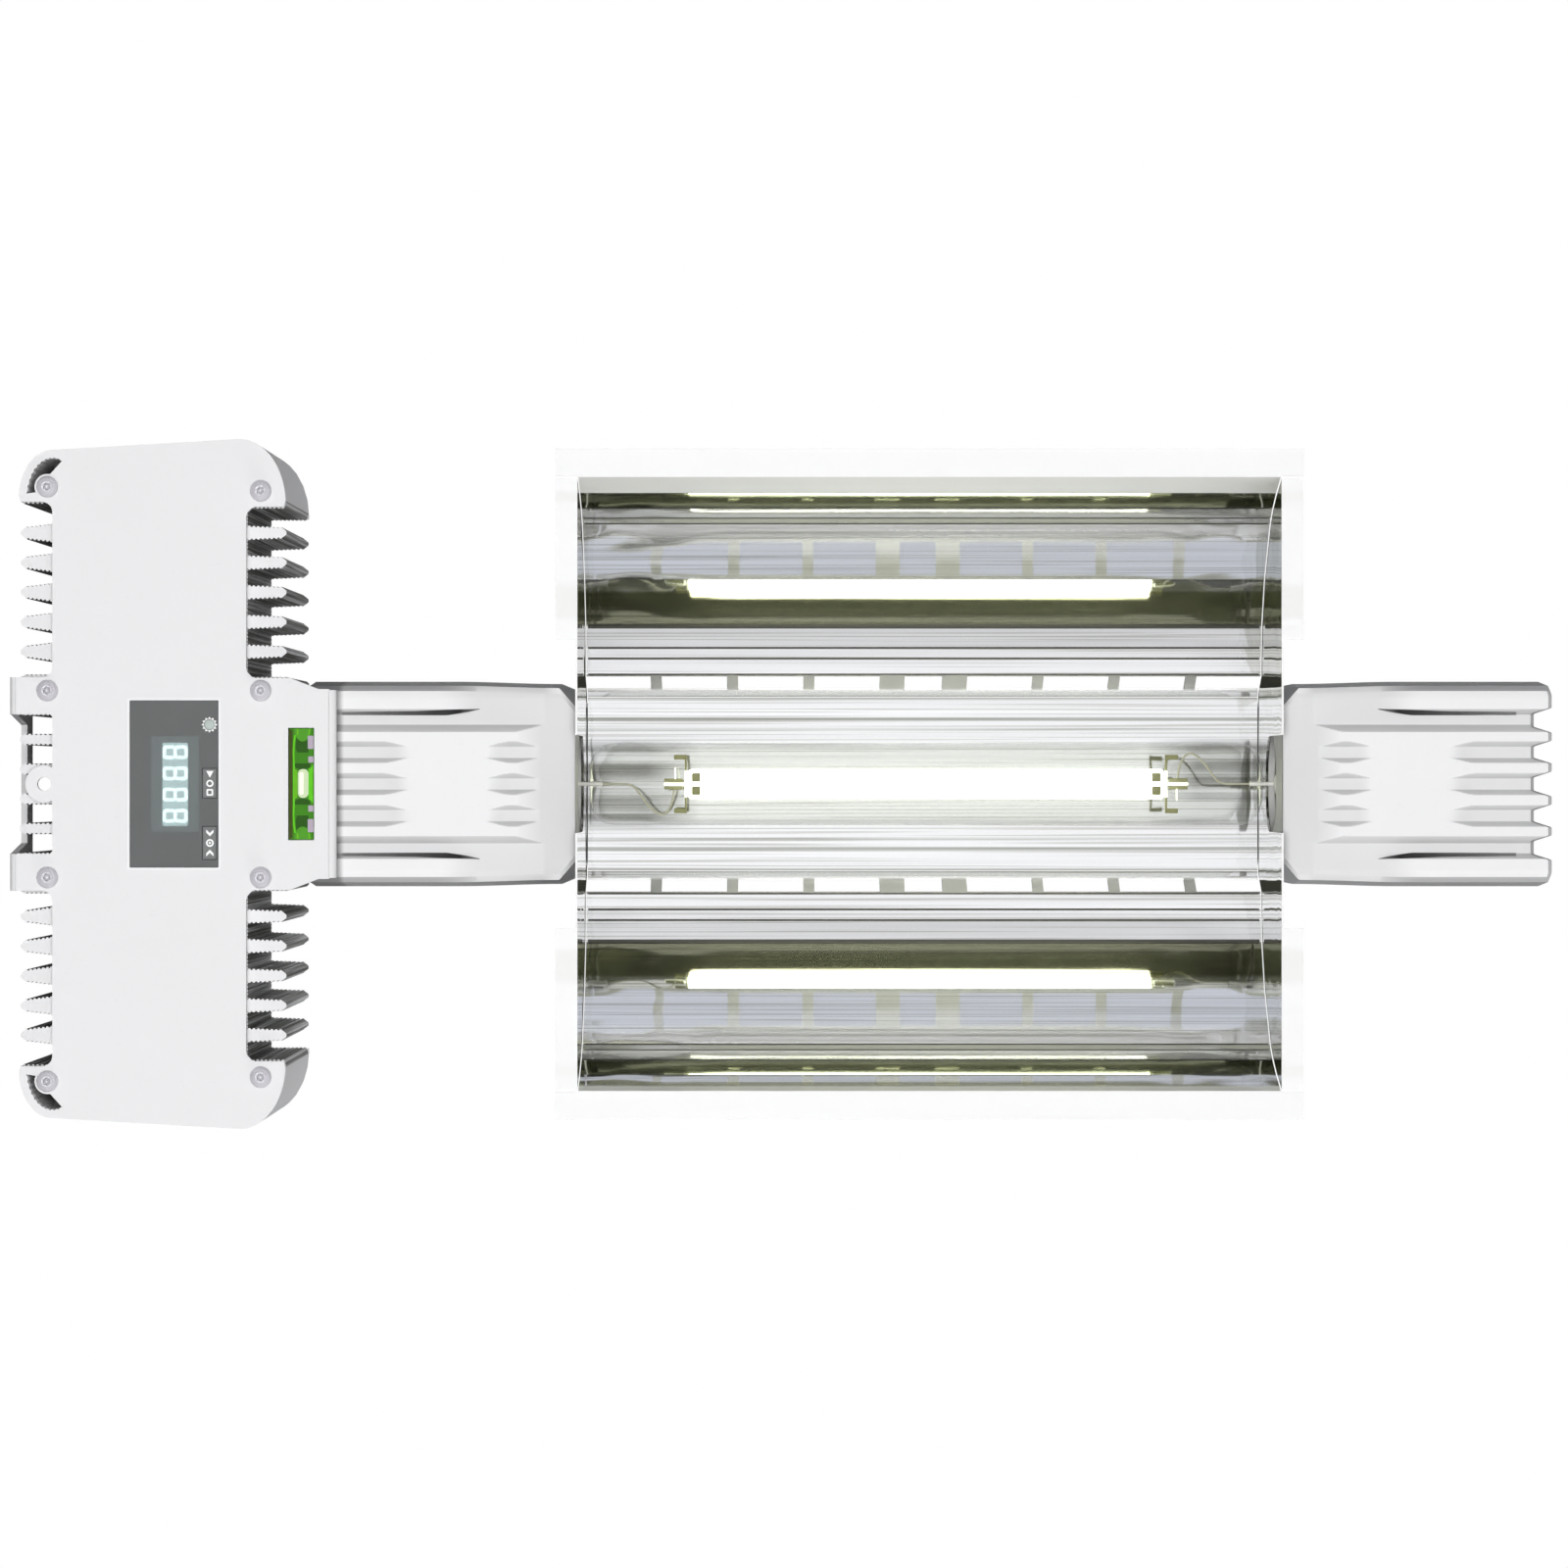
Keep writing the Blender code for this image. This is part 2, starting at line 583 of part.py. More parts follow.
def section_half_width(rise):
    """The arm's outer half width at a rise above the rim."""
    for (y0, z0), (y1, z1) in zip(ARM_SECTION, ARM_SECTION[1:]):
        if z0 <= rise <= z1:
            return y0 + (y1 - y0) * (rise - z0) / (z1 - z0)
    return ARM_SECTION[0][0] if rise < ARM_SECTION[0][1] else ARM_SECTION[-1][0]


def nose_plan(side):
    """The arm seen from above: a plain outer end, and an inner end with its corners cut off."""
    outer, inner = (abs(x) for x in (ARM_X[side] if side == "left" else ARM_X[side][::-1]))
    wide = 0.045
    shoulder = inner + (wide - NOSE_HALF_WIDTH) / NOSE_SLOPE
    sign = -1 if side == "left" else 1
    half = [(outer + 0.001, wide), (shoulder, wide), (inner, NOSE_HALF_WIDTH)]
    return mirrored([(sign * x, y) for x, y in half])


def arm_half(name, side, low, high, hollow_low, hollow_high):
    """A hollow half of an arm: its lower cover or its upper shell."""
    low_x, high_x = ARM_X[side]
    half = prism(name, "white_paint", [arm_loop(low, high, 0)], low_x, high_x, ALONG_X)
    hollow = arm_loop(hollow_low, hollow_high, ARM_WALL)
    cut(half, prism(f"{name}_hollow", None, [hollow], low_x + ARM_WALL, high_x - ARM_WALL, ALONG_X))
    plan = prism(f"{name}_plan", None, [nose_plan(side)], RIM_Z, BODY_TOP_Z)
    return cut(half, plan, "INTERSECT")


def lamp_arm(side):
    sign = -1 if side == "left" else 1
    top = BODY_RISE - GAP
    cover = arm_half(f"{side}_arm_cover", side, 0.005, ARM_SPLIT_RISE - GAP, 0.0075, 0.040)
    if side == "left":
        pocket = box("level_pocket_cutter", None, grown(LEVEL_X, 2 * GAP),
                     grown((-LEVEL_HALF_LENGTH, LEVEL_HALF_LENGTH), 2 * GAP),
                     (RIM_Z, RIM_Z + 0.012))
        cut(cover, pocket)
    shell = arm_half(f"{side}_arm_shell", side, ARM_SPLIT_RISE, top, 0.020, top - ARM_WALL)
    nose = Matrix.Translation((sign * 0.145, 0, LAMP_Z)) @ ALONG_X
    cut(shell, turned(f"{side}_lamp_hole_cutter", None, disc(LAMP_HOLE_RADIUS, 0.030), nose))
    hole = Matrix.Translation((sign * WIRE_RISE_X, sign * WIRE_Y, BODY_TOP_Z))
    cut(shell, turned(f"{side}_wire_hole_cutter", None, disc(WIRE_HOLE_RADIUS, 0.012), hole))


def disc(radius, thickness):
    half = thickness / 2
    return [(0, half), (radius, half), (radius, -half), (0, -half)]


# ---------------------------------------------------------------- reflector

def reflector_spine():
    low = RIM_Z + WING_FOLDS[0][1]
    box("reflector_spine", "mirror_sheet", (-MOUTH_HALF[0] + GAP, MOUTH_HALF[0] - GAP),
        (-SPINE_HALF_WIDTH, SPINE_HALF_WIDTH), (low, low + SHEET))


def offset_folds(folds, distance):
    """The fold line moved outwards by the sheet's thickness."""
    moved = []
    for i, (y, z) in enumerate(folds):
        before, after = folds[max(i - 1, 0)], folds[min(i + 1, len(folds) - 1)]
        dy, dz = after[0] - before[0], after[1] - before[1]
        length = math.hypot(dy, dz)
        moved.append((y - distance * dz / length, z + distance * dy / length))
    return moved


def reflector_wing(name, sign):
    """A folded mirror sheet with a row of vent slots in its upper step and a flange at its foot."""
    low = RIM_Z
    inner = list(WING_FOLDS)
    outer = offset_folds(inner, SHEET)
    flange = [(MOUTH_HALF[1], 0), (FLANGE_HALF[1], 0), (FLANGE_HALF[1], SHEET)]
    outline = inner + flange + [(MOUTH_HALF[1] + 0.0010, SHEET)] + outer[-2::-1]
    loop = [(sign * y, low + z) for y, z in outline]
    wing = prism(name, "mirror_sheet", [loop], -FLANGE_HALF[0], FLANGE_HALF[0], ALONG_X)
    inner_y, outer_y = 0.030, MOUTH_HALF[1] + 0.0005
    for end in (-1, 1):
        span = sorted((end * (MOUTH_HALF[0] - GAP), end * 0.150))
        side = f"{name}_{'left' if end < 0 else 'right'}"
        cut(wing, box(f"{side}_end_cutter", None, span, sorted((sign * inner_y, sign * 0.125)),
                      (low + SHEET + 0.0002, low + 0.125)))
        cut(wing, box(f"{side}_foot_cutter", None, span, sorted((sign * inner_y, sign * outer_y)),
                      (low - 0.001, low + 0.002)))
    for i in range(-SLOTS_EACH_SIDE, SLOTS_EACH_SIDE + 1):
        length = SLOT_LENGTH if i else MIDDLE_SLOT_LENGTH
        x = i * SLOT_PITCH
        cut(wing, box(f"{name}_slot_cutter_{i + SLOTS_EACH_SIDE}", None,
                      (x - length / 2, x + length / 2), sorted((sign * SLOT_Y[0], sign * SLOT_Y[1])),
                      (low + SLOT_RISE[0], low + SLOT_RISE[1])))


def reflector_end(side):
    """A flat mirror sheet under the folds, notched for the lamp, with two flange strips."""
    sign = -1 if side == "left" else 1
    folds = [(y - 0.0006, z - 0.0005) for y, z in WING_FOLDS[1:]]
    top = WING_FOLDS[0][1] - GAP
    slot = [(LAMP_HOLE_RADIUS, 0)] + arc(0, LAMP_RISE, LAMP_HOLE_RADIUS, LAMP_HOLE_RADIUS, 0, 90, 6)
    half = slot[:-1] + [(0, LAMP_RISE + LAMP_HOLE_RADIUS)]
    foot = SHEET / 4
    sheet = [(y, RIM_Z + z) for y, z in [(SPINE_HALF_WIDTH, top)] + folds[:-1]
             + [(MOUTH_HALF[1] - 0.0006, foot)]]
    notch = [(y, RIM_Z + max(z, foot)) for y, z in half]
    outline = mirrored_section(sheet + notch)
    span = sorted((sign * MOUTH_HALF[0], sign * (MOUTH_HALF[0] + SHEET)))
    end = prism(f"reflector_{side}_end", "mirror_sheet", [outline], *span, ALONG_X)
    reach = sorted((sign * (MOUTH_HALF[0] + foot), sign * FLANGE_HALF[0]))
    for number, direction in enumerate((-1, 1), 1):
        y = sorted((direction * ARM_CLEARANCE_Y, direction * (MOUTH_HALF[1] - 2 * GAP)))
        strip = box(f"{side}_flange_strip_{number}", None, reach, y, (RIM_Z, RIM_Z + SHEET))
        cut(end, strip, "UNION")


# ---------------------------------------------------------------- lamp

def lamp_axis(sign=1):
    """Local Z along +X or -X, on the lamp's axis."""
    turn = Matrix.Rotation(sign * math.pi / 2, 4, "Y")
    return Matrix.Translation((0, 0, LAMP_Z)) @ turn


def lamp_envelope():
    outer, length = ENVELOPE_RADIUS, ENVELOPE_HALF_LENGTH
    mouth = SEAL_RADIUS + GAP
    inner = outer - ENVELOPE_WALL
    shoulder, neck = length - 0.006, length - 0.002
    run = [(mouth, length), (outer * 0.72, neck + 0.001), (outer, shoulder)]
    back = [(inner, shoulder - 0.001), (inner * 0.66, neck - 0.001), (mouth, length - 0.0016)]
    profile = run + [(r, -z) for r, z in reversed(run)]
    profile += [(r, -z) for r, z in reversed(back)] + back
    turned("lamp_envelope", "quartz", profile, lamp_axis(), steps=24)


def arc_tube():
    radius, length = ARC_RADIUS, ARC_HALF_LENGTH
    pin, pin_end = ARC_PIN
    run = [(0, pin_end), (pin, pin_end), (pin, length), (radius * 0.55, length),
           (radius * 0.9, length - 0.001), (radius, length - 0.003)]
    turned("arc_tube", "arc_white", run + [(r, -z) for r, z in reversed(run)], lamp_axis(), steps=16)


def lamp_end(side):
    """The pinch seal and pin, the inner wires, and the holder and contact clip they sit in."""
    sign = -1 if side == "left" else 1
    pin, pin_end = LAMP_PIN
    seal = [(0, pin_end), (pin, pin_end), (pin, SEAL_X[1] + 0.001), (SEAL_RADIUS, SEAL_X[1]),
            (SEAL_RADIUS, SEAL_X[0]), (0, SEAL_X[0])]
    turned(f"lamp_{side}_seal", "ceramic_white", seal, lamp_axis(sign), steps=16)
    near, far = FRAME_X
    width = FRAME_HALF_WIDTH
    drop = LAMP_Z - 0.0018
    bracket = [(near, -width, drop), (far, -width, drop), (far, width, drop), (near, width, drop)]
    bracket = [(sign * x, y, z) for x, y, z in filleted(bracket, 0.0010, 2)]
    wire(f"lamp_{side}_frame", "lamp_wire", bracket, LEAD_RADIUS)
    route = [(0.1281, 0.0), (0.1176, 0.0), (0.1120, -0.0080), (0.1068, -0.0128),
             (0.1015, -0.0110), (0.1014, -0.0022)]
    lead = filleted([(sign * x, sign * y, LAMP_Z) for x, y in route], 0.0035, 3)
    wire(f"lamp_{side}_lead", "lamp_wire", lead, LEAD_RADIUS)
    lamp_holder(side, sign)


def notched_block(name, look, sign, x, half_width, low, high, floor_radius):
    """A block with a round-bottomed slot, open downwards, for the lamp's pin."""
    centre = LAMP_RISE
    slot = arc(0, centre, floor_radius, floor_radius, 0, 90, 4)
    half = [(half_width, low), (floor_radius, low)] + slot
    outline = [(half_width, high)] + half
    loop = mirrored_section([(y, RIM_Z + z) for y, z in outline])
    prism(name, look, [loop], *sorted((sign * x[0], sign * x[1])), ALONG_X)


def lamp_holder(side, sign):
    slot = LAMP_PIN[0] + GAP
    notched_block(f"{side}_lamp_holder", "ceramic_white", sign, HOLDER_X, HOLDER_HALF_WIDTH,
                  *HOLDER_RISE, slot)
    notched_block(f"{side}_contact_clip", "screw_steel", sign, CLIP_X, 0.0045, 0.0520, 0.0680, slot)
    start = [(sign * (LAMP_PIN[1] + GAP), 0, LAMP_Z), (sign * 0.206, 0, LAMP_Z),
             (sign * WIRE_RISE_X, sign * WIRE_Y, LAMP_Z + 0.012)]
    rise = [(sign * WIRE_RISE_X, sign * WIRE_Y, WIRE_RUN_Z), (WIRE_HOLE_X, sign * WIRE_Y, WIRE_RUN_Z),
            (WIRE_HOLE_X, sign * WIRE_Y, BODY_TOP_Z - 0.012)]
    wire(f"{side}_lead_wire", "silicone", filleted(start + rise, 0.007, 3), WIRE_RADIUS)


# ---------------------------------------------------------------- hanging bails

def hanger(side):
    """A pair of lugs on the beam and the wire bail that swings over between them."""
    x = HANGER_X[side]
    sign = 1 if side == "left" else -1
    foot_z = GAP - HANGER_SEAT
    base = foot_z + HANGER_BASE
    loop = [(-LUG_Y[1], foot_z), (LUG_Y[1], foot_z), (LUG_Y[1], LUG_HEIGHT), (LUG_Y[0], LUG_HEIGHT),
            (LUG_Y[0], base), (-LUG_Y[0], base), (-LUG_Y[0], LUG_HEIGHT), (-LUG_Y[1], LUG_HEIGHT)]
    bracket = prism(f"{side}_hanger_bracket", "screw_steel", [loop], x - HANGER_LENGTH / 2,
                    x + HANGER_LENGTH / 2, ALONG_X)
    pivot = Matrix.Translation((x, 0, PIVOT_Z)) @ Matrix.Rotation(math.pi / 2, 4, "X")
    cut(bracket, turned(f"{side}_pivot_cutter", None, disc(BAIL_RADIUS + GAP, 0.060), pivot, 16))
    foot, leg = LUG_Y[1] + 0.0025, BAIL_HALF_WIDTH
    half = [(0, foot, 0), (0, leg, 0), (0.040, leg, 0), (0.055, 0.006, 0), (BAIL_REACH, 0, 0)]
    route = half + [(px, -py, pz) for px, py, pz in reversed(half[:-1])]
    route = filleted([(sign * px, py, pz) for px, py, pz in route], 0.0055, 3)
    pivot_empty = bpy.data.objects.new(f"{side}_bail_pivot", None)
    parts.objects.link(pivot_empty)
    pivot_empty.location = (x, 0, PIVOT_Z)
    bail = wire(f"{side}_hanger_bail", "screw_steel", route, BAIL_RADIUS)
    bail.parent = pivot_empty


def smooth_round_parts():
    """Shades the turned and bent parts smooth, with their real edges kept sharp."""
    for part in parts.objects:
        round_part = part.type == "MESH" and (len(part.modifiers) == 1
                                              and part.modifiers[0].type == "SCREW")
        if round_part or part.name.endswith(("_bail", "_wire", "_lead", "_frame")):
            if part.type == "MESH":
                part.data.shade_smooth()
                part.data.set_sharp_from_angle(angle=math.radians(35))


for old in list(bpy.data.objects):
    bpy.data.objects.remove(old, do_unlink=True)
parts = new_collection(OBJECT_NAME)
cutters = new_collection("cutters")

ballast_extrusion()
bottom_plate()
top_plate()
plate_gasket()
plate_screws()
control_window()
spirit_level()
driver_electronics()
mains_inlet()
control_ports()
chassis_beam()
reflector_spine()
reflector_wing("reflector_front_wing", -1)
reflector_wing("reflector_rear_wing", 1)
lamp_envelope()
arc_tube()
for arm_side in ARM_X:
    lamp_arm(arm_side)
    reflector_end(arm_side)
    lamp_end(arm_side)
    hanger(arm_side)
smooth_round_parts()
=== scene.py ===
"""Greenhouse grow light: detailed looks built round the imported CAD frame."""
import json
import math

import bmesh
import bpy
import numpy as np
from mathutils import Matrix, Vector
from mathutils.geometry import delaunay_2d_cdt


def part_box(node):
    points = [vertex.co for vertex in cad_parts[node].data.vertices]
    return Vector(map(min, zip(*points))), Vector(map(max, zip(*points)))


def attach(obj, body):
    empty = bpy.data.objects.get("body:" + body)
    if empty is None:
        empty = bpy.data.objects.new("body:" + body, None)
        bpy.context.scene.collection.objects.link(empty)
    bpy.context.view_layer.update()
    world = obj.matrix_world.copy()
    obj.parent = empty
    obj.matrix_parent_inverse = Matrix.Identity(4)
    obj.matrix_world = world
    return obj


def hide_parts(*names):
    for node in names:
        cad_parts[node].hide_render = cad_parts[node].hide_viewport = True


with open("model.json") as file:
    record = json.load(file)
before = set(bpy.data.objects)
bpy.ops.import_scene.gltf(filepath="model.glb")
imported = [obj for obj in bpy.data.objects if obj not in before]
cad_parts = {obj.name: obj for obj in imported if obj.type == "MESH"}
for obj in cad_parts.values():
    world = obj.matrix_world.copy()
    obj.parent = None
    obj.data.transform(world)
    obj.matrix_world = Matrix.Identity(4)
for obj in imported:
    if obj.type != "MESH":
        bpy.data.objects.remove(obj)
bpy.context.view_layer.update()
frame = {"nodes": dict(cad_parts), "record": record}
NODES = frame["nodes"]

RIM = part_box("bottom_plate")[0].z       # the fixture's lower face, which the camera looks up at
ARM_FACE = RIM + 0.005                  # the arms' lower faces, on their ridges
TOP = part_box("top_plate")[1].z
LAMP_RISE = 0.060                       # the lamp's axis above the rim

# ------------------------------------------------------------------ nodes


class Nodes:
    """Short ways to add shader nodes to a tree."""

    def __init__(self, tree):
        self.tree = tree

    def node(self, kind, **sockets):
        """A new node. A socket is given by its name, with _ for a space, or by i and its index."""
        made = self.tree.nodes.new("ShaderNode" + kind)
        for socket, value in sockets.items():
            self.feed(made, socket, value)
        return made

    def feed(self, node, socket, value):
        socket = int(socket[1:]) if socket[0] == "i" else socket.replace("_", " ")
        if isinstance(value, bpy.types.NodeSocket):
            self.tree.links.new(value, node.inputs[socket])
        else:
            node.inputs[socket].default_value = value

    def maths(self, operation, a, b=0.0, c=0.0):
        made = self.node("Math", i0=a, i1=b, i2=c)
        made.operation = operation
        return made.outputs[0]

    def between(self, fac, low, high, start=0.0, end=1.0, ease="LINEAR"):
        """From low to high, as the factor goes from start to end."""
        made = self.node("MapRange", Value=fac, From_Min=start, From_Max=end, To_Min=low,
                         To_Max=high)
        made.interpolation_type = ease
        return made.outputs["Result"]

    def ramp(self, fac, stops, ease="LINEAR"):
        """Colours, or greys given as one number, at positions from 0 to 1."""
        made = self.node("ValToRGB", Fac=fac)
        made.color_ramp.interpolation = ease
        elements = made.color_ramp.elements
        while len(elements) < len(stops):
            elements.new(0.5)
        for element, (position, colour) in zip(elements, stops):
            element.position = position
            element.color = (*colour, 1) if hasattr(colour, "__len__") else (colour,) * 3 + (1,)
        return made.outputs["Color"]


def scaled(colour, share):
    return tuple(c * share for c in colour)


# ------------------------------------------------------------------ camera, world and lights

CAMERA_DISTANCE = 2.36
VIEW_X = -0.0564
FOCAL_LENGTH, SENSOR_WIDTH = 139.8, 36


def add_camera():
    data = bpy.data.cameras.new("camera")
    data.lens = FOCAL_LENGTH
    data.sensor_width = SENSOR_WIDTH
    data.clip_start, data.clip_end = 0.05, 50
    camera = bpy.data.objects.new("camera", data)
    bpy.context.scene.collection.objects.link(camera)
    camera.location = (VIEW_X, 0, RIM - CAMERA_DISTANCE)
    camera.rotation_euler = (math.pi, 0, 0)
    bpy.context.scene.camera = camera


# Name, place, width in metres, power in watts and the way it shines
LIGHTS = (
    ("fill_from_below", (-0.15, 0, RIM - 2.6), 1.5, 52, (0, 0, 1)),
    ("floor_wash", (0, 0, RIM - 1.4), 2.4, 38, (0, 0, -1)),
    ("overhead", (0.2, -0.3, 2.4), 2.2, 75, (0, 0, -1)),
    ("side_fill", (0.5, 2.2, RIM - 0.35), 1.2, 20, (-0.25, -1.0, 0.16)),
)


def add_lights():
    for name, location, size, power, aim in LIGHTS:
        data = bpy.data.lights.new(name, "AREA")
        data.shape = "DISK"
        data.size = size
        data.energy = power
        light = bpy.data.objects.new(name, data)
        light.location = location
        light.rotation_euler = Vector(aim).to_track_quat("-Z", "Y").to_euler()
        light.visible_camera = False
        light.visible_glossy = False
        bpy.context.scene.collection.objects.link(light)


# Sine of the height above the horizon, and the colour that reflections find there
WORLD_STOPS = (
    (-1.00, (0.86, 0.87, 0.90)),
    (-0.84, (0.80, 0.81, 0.84)),
    (-0.74, (0.10, 0.10, 0.10)),
    (-0.40, (0.05, 0.05, 0.045)),
    (0.02, (0.07, 0.07, 0.065)),
    (0.16, (0.58, 0.60, 0.66)),
    (0.84, (0.62, 0.63, 0.66)),
    (0.93, (0.05, 0.05, 0.045)),
    (1.00, (0.03, 0.03, 0.025)),
)
WORLD_FILL = (0.060, 0.060, 0.062, 1)


def add_world():
    """White behind the object, and round it a bright floor and ceiling with darker walls."""
    world = bpy.data.worlds.new("studio")
    bpy.context.scene.world = world
    world.use_nodes = True
    world.node_tree.nodes.clear()
    sky = Nodes(world.node_tree)
    height = sky.node("SeparateXYZ", i0=sky.node("TexCoord").outputs["Generated"]).outputs["Z"]
    stops = [((rise + 1) / 2, colour) for rise, colour in WORLD_STOPS]
    around = sky.node("Background", Color=sky.ramp(sky.between(height, 0, 1, -1, 1), stops, "EASE"))
    behind = sky.node("Background", Color=(1, 1, 1, 1))
    fill = sky.node("Background", Color=WORLD_FILL)
    ray = sky.node("LightPath").outputs
    soft = sky.node("MixShader", i0=ray["Is Diffuse Ray"], i1=around.outputs[0], i2=fill.outputs[0])
    seen = sky.node("MixShader", i0=ray["Is Camera Ray"], i1=soft.outputs[0], i2=behind.outputs[0])
    sky.node("OutputWorld", Surface=seen.outputs[0])


# ------------------------------------------------------------------ materials

PLAIN = (1.0, 1.0, 1.0)


class Look(Nodes):
    """A material under construction: a Principled shader and the nodes that feed it."""

    def __init__(self, name, colour, roughness=0.5, metallic=0.0, **constants):
        self.material = bpy.data.materials.new(name)
        self.material.use_nodes = True
        super().__init__(self.material.node_tree)
        self.shader = self.tree.nodes["Principled BSDF"]
        self.coords = self.node("TexCoord").outputs["Object"]
        constants.update(Base_Color=(*colour, 1), Roughness=roughness, Metallic=metallic)
        for socket, value in constants.items():
            self.feed(self.shader, socket, value)

    def place(self, axis):
        """Where a point lies along one axis."""
        return self.node("SeparateXYZ", Vector=self.coords).outputs[axis]

    def facing(self, axis):
        """How far the surface faces along one axis."""
        normals = self.node("TexCoord").outputs["Normal"]
        return self.node("SeparateXYZ", Vector=normals).outputs[axis]

    def size(self, value):
        return self.maths("ABSOLUTE", value)

    def below(self, value, limit):
        return self.maths("LESS_THAN", value, limit)

    def times(self, a, b):
        return self.maths("MULTIPLY", a, b)

    def noise(self, scale, stretch=(1, 1, 1), detail=2.0, rough=0.5):
        at = self.node("Mapping", Vector=self.coords, Scale=stretch).outputs[0]
        made = self.node("TexNoise", Vector=at, Scale=scale, Detail=detail, Roughness=rough)
        return made.outputs["Fac"]

    def mix(self, fac, a, b, kind="MIX"):
        made = self.tree.nodes.new("ShaderNodeMix")
        made.data_type = "RGBA"
        made.blend_type = kind
        for socket, value in (("i0", fac), ("i6", a), ("i7", b)):
            plain = socket == "i0" or isinstance(value, bpy.types.NodeSocket)
            self.feed(made, socket, value if plain else (*value, 1))
        return made.outputs[2]

    def dulled(self, fac, colour, share):
        """The colour, going to a share of itself as the factor rises."""
        return self.mix(fac, colour, scaled(colour, share))

    def colour(self, socket):
        self.feed(self.shader, "Base Color", socket)
        return self

    def shaded(self, *shades):
        """The colour so far, multiplied by each shade."""
        coat = self.shader.inputs["Base Color"].links[0].from_socket
        for shade in shades:
            coat = self.mix(1.0, coat, shade, "MULTIPLY")
        return self.colour(coat)

    def glow(self, tint, strength):
        self.feed(self.shader, "Emission Color", tint)
        self.feed(self.shader, "Emission Strength", strength)
        return self.colour(tint)

    def roughness(self, fac, low, high):
        self.feed(self.shader, "Roughness", self.between(fac, low, high))

    def bump(self, height, strength, distance):
        relief = self.node("Bump", Height=height, Strength=strength, Distance=distance)
        self.feed(self.shader, "Normal", relief.outputs[0])
        return self

    def surface(self, share, first, second):
        """The first shader with a share of the second, as the material's surface."""
        mixed = self.node("MixShader", i0=share, i1=first.outputs[0], i2=second.outputs[0])
        self.tree.links.new(mixed.outputs[0], self.tree.nodes["Material Output"].inputs["Surface"])
        return self


def powder_coat(name, tone=(0.83, 0.83, 0.84), lines=None):
    """Satin white powder coat: fine orange peel, faint clouding, and extrusion lines if any."""
    look = Look(name, tone, 0.42, Specular_IOR_Level=0.45)
    warm = tuple(c * k for c, k in zip(tone, (0.965, 0.965, 0.955)))
    clouded = look.mix(look.between(look.noise(9, detail=3), 0.0, 0.7), tone, warm)
    specks = look.ramp(look.noise(420), ((0.28, 0.30), (0.34, 0.0)))
    look.colour(look.mix(specks, clouded, scaled(tone, 0.93)))
    look.roughness(look.noise(60, detail=3), 0.34, 0.50)
    peel = look.noise(900)
    if lines:
        peel = look.maths("ADD", peel, look.noise(700, stretch=lines, detail=3))
    return look.bump(peel, 0.10, 0.00006)


def shaded_wall_coat(name):
    """Powder coat on an extrusion, with painted shade on its channel walls: dark streaks along Z
    that follow the die's ridges.
    """
    look = powder_coat(name, lines=(1, 1, 0.01))
    upright = look.below(look.size(look.facing("Z")), 0.5)
    within = look.below(look.size(look.place("Y")), 0.1098)
    # painted shade: the upright channel walls darkened in streaks, standing in for the shade and
    # dark reflections in the channels
    ridges = look.ramp(look.noise(640, stretch=(1, 1, 0.004), detail=3, rough=0.7),
                       ((0.38, (0.10, 0.10, 0.085)), (0.50, (0.30, 0.30, 0.28)),
                        (0.60, (0.85, 0.85, 0.85))))
    return look.shaded(look.mix(look.times(upright, within), PLAIN, ridges))


def fluted_coat(name, tone):
    """Powder coat with painted shade: greyer on the walls between the flutes, darker above the
    ridges' face, and a painted shadow under the ballast plate's edge.
    """
    look = powder_coat(name, tone)
    # painted shade: wall darkens the steep walls, rise darkens what lies above the ridges' face,
    # and under is a painted shadow beneath the tongue's edge
    wall = look.ramp(look.size(look.facing("Z")), ((0.30, 0.60), (0.80, 0.78), (0.985, 1.0)))
    rise = look.between(look.place("Z"), 1.0, 0.86, RIM + 0.0052, RIM + 0.0074)
    under = look.between(look.place("X"), 0.45, 1.0, -0.2298, -0.2270, "SMOOTHSTEP")
    return look.shaded(wall, under, rise)


# Bands of painted reflection on the mirror, darker and tinted: from and to, across from the lamp's
# axis, and the tint there
PAINTED_REFLECTION_BANDS = (
    (0.0219, 0.0227, (0.76, 0.77, 0.76)),
    (0.0259, 0.0268, (0.50, 0.51, 0.48)),
    (0.0345, 0.0358, (0.52, 0.53, 0.50)),
    (0.0642, 0.0770, (0.42, 0.42, 0.30)),
    (0.1092, 0.1135, (0.50, 0.52, 0.36)),
)
BAND_SPAN = 0.125
BAND_EDGE = 0.0004
# How much of the sheet is matt, by distance across from the lamp's axis
SOFT_BANDS = ((0.0374, 0.0), (0.0377, 0.42), (0.0440, 0.42), (0.0443, 0.0), (0.0950, 0.0),
              (0.0985, 0.26), (0.1080, 0.26), (0.1087, 0.0), (0.1172, 0.0), (0.1176, 0.80))
# the dark olive of a painted reflection on the inner face of one end sheet
END_SHEET_PAINTED_REFLECTION = (0.26, 0.27, 0.15)
HAZE = (0.80, 0.82, 0.58, 1)


def across_ramp(look, stops):
    """Values at distances across from the lamp's axis."""
    share = look.maths("DIVIDE", look.size(look.place("Y")), BAND_SPAN)
    return look.ramp(share, [(y / BAND_SPAN, value) for y, value in stops])


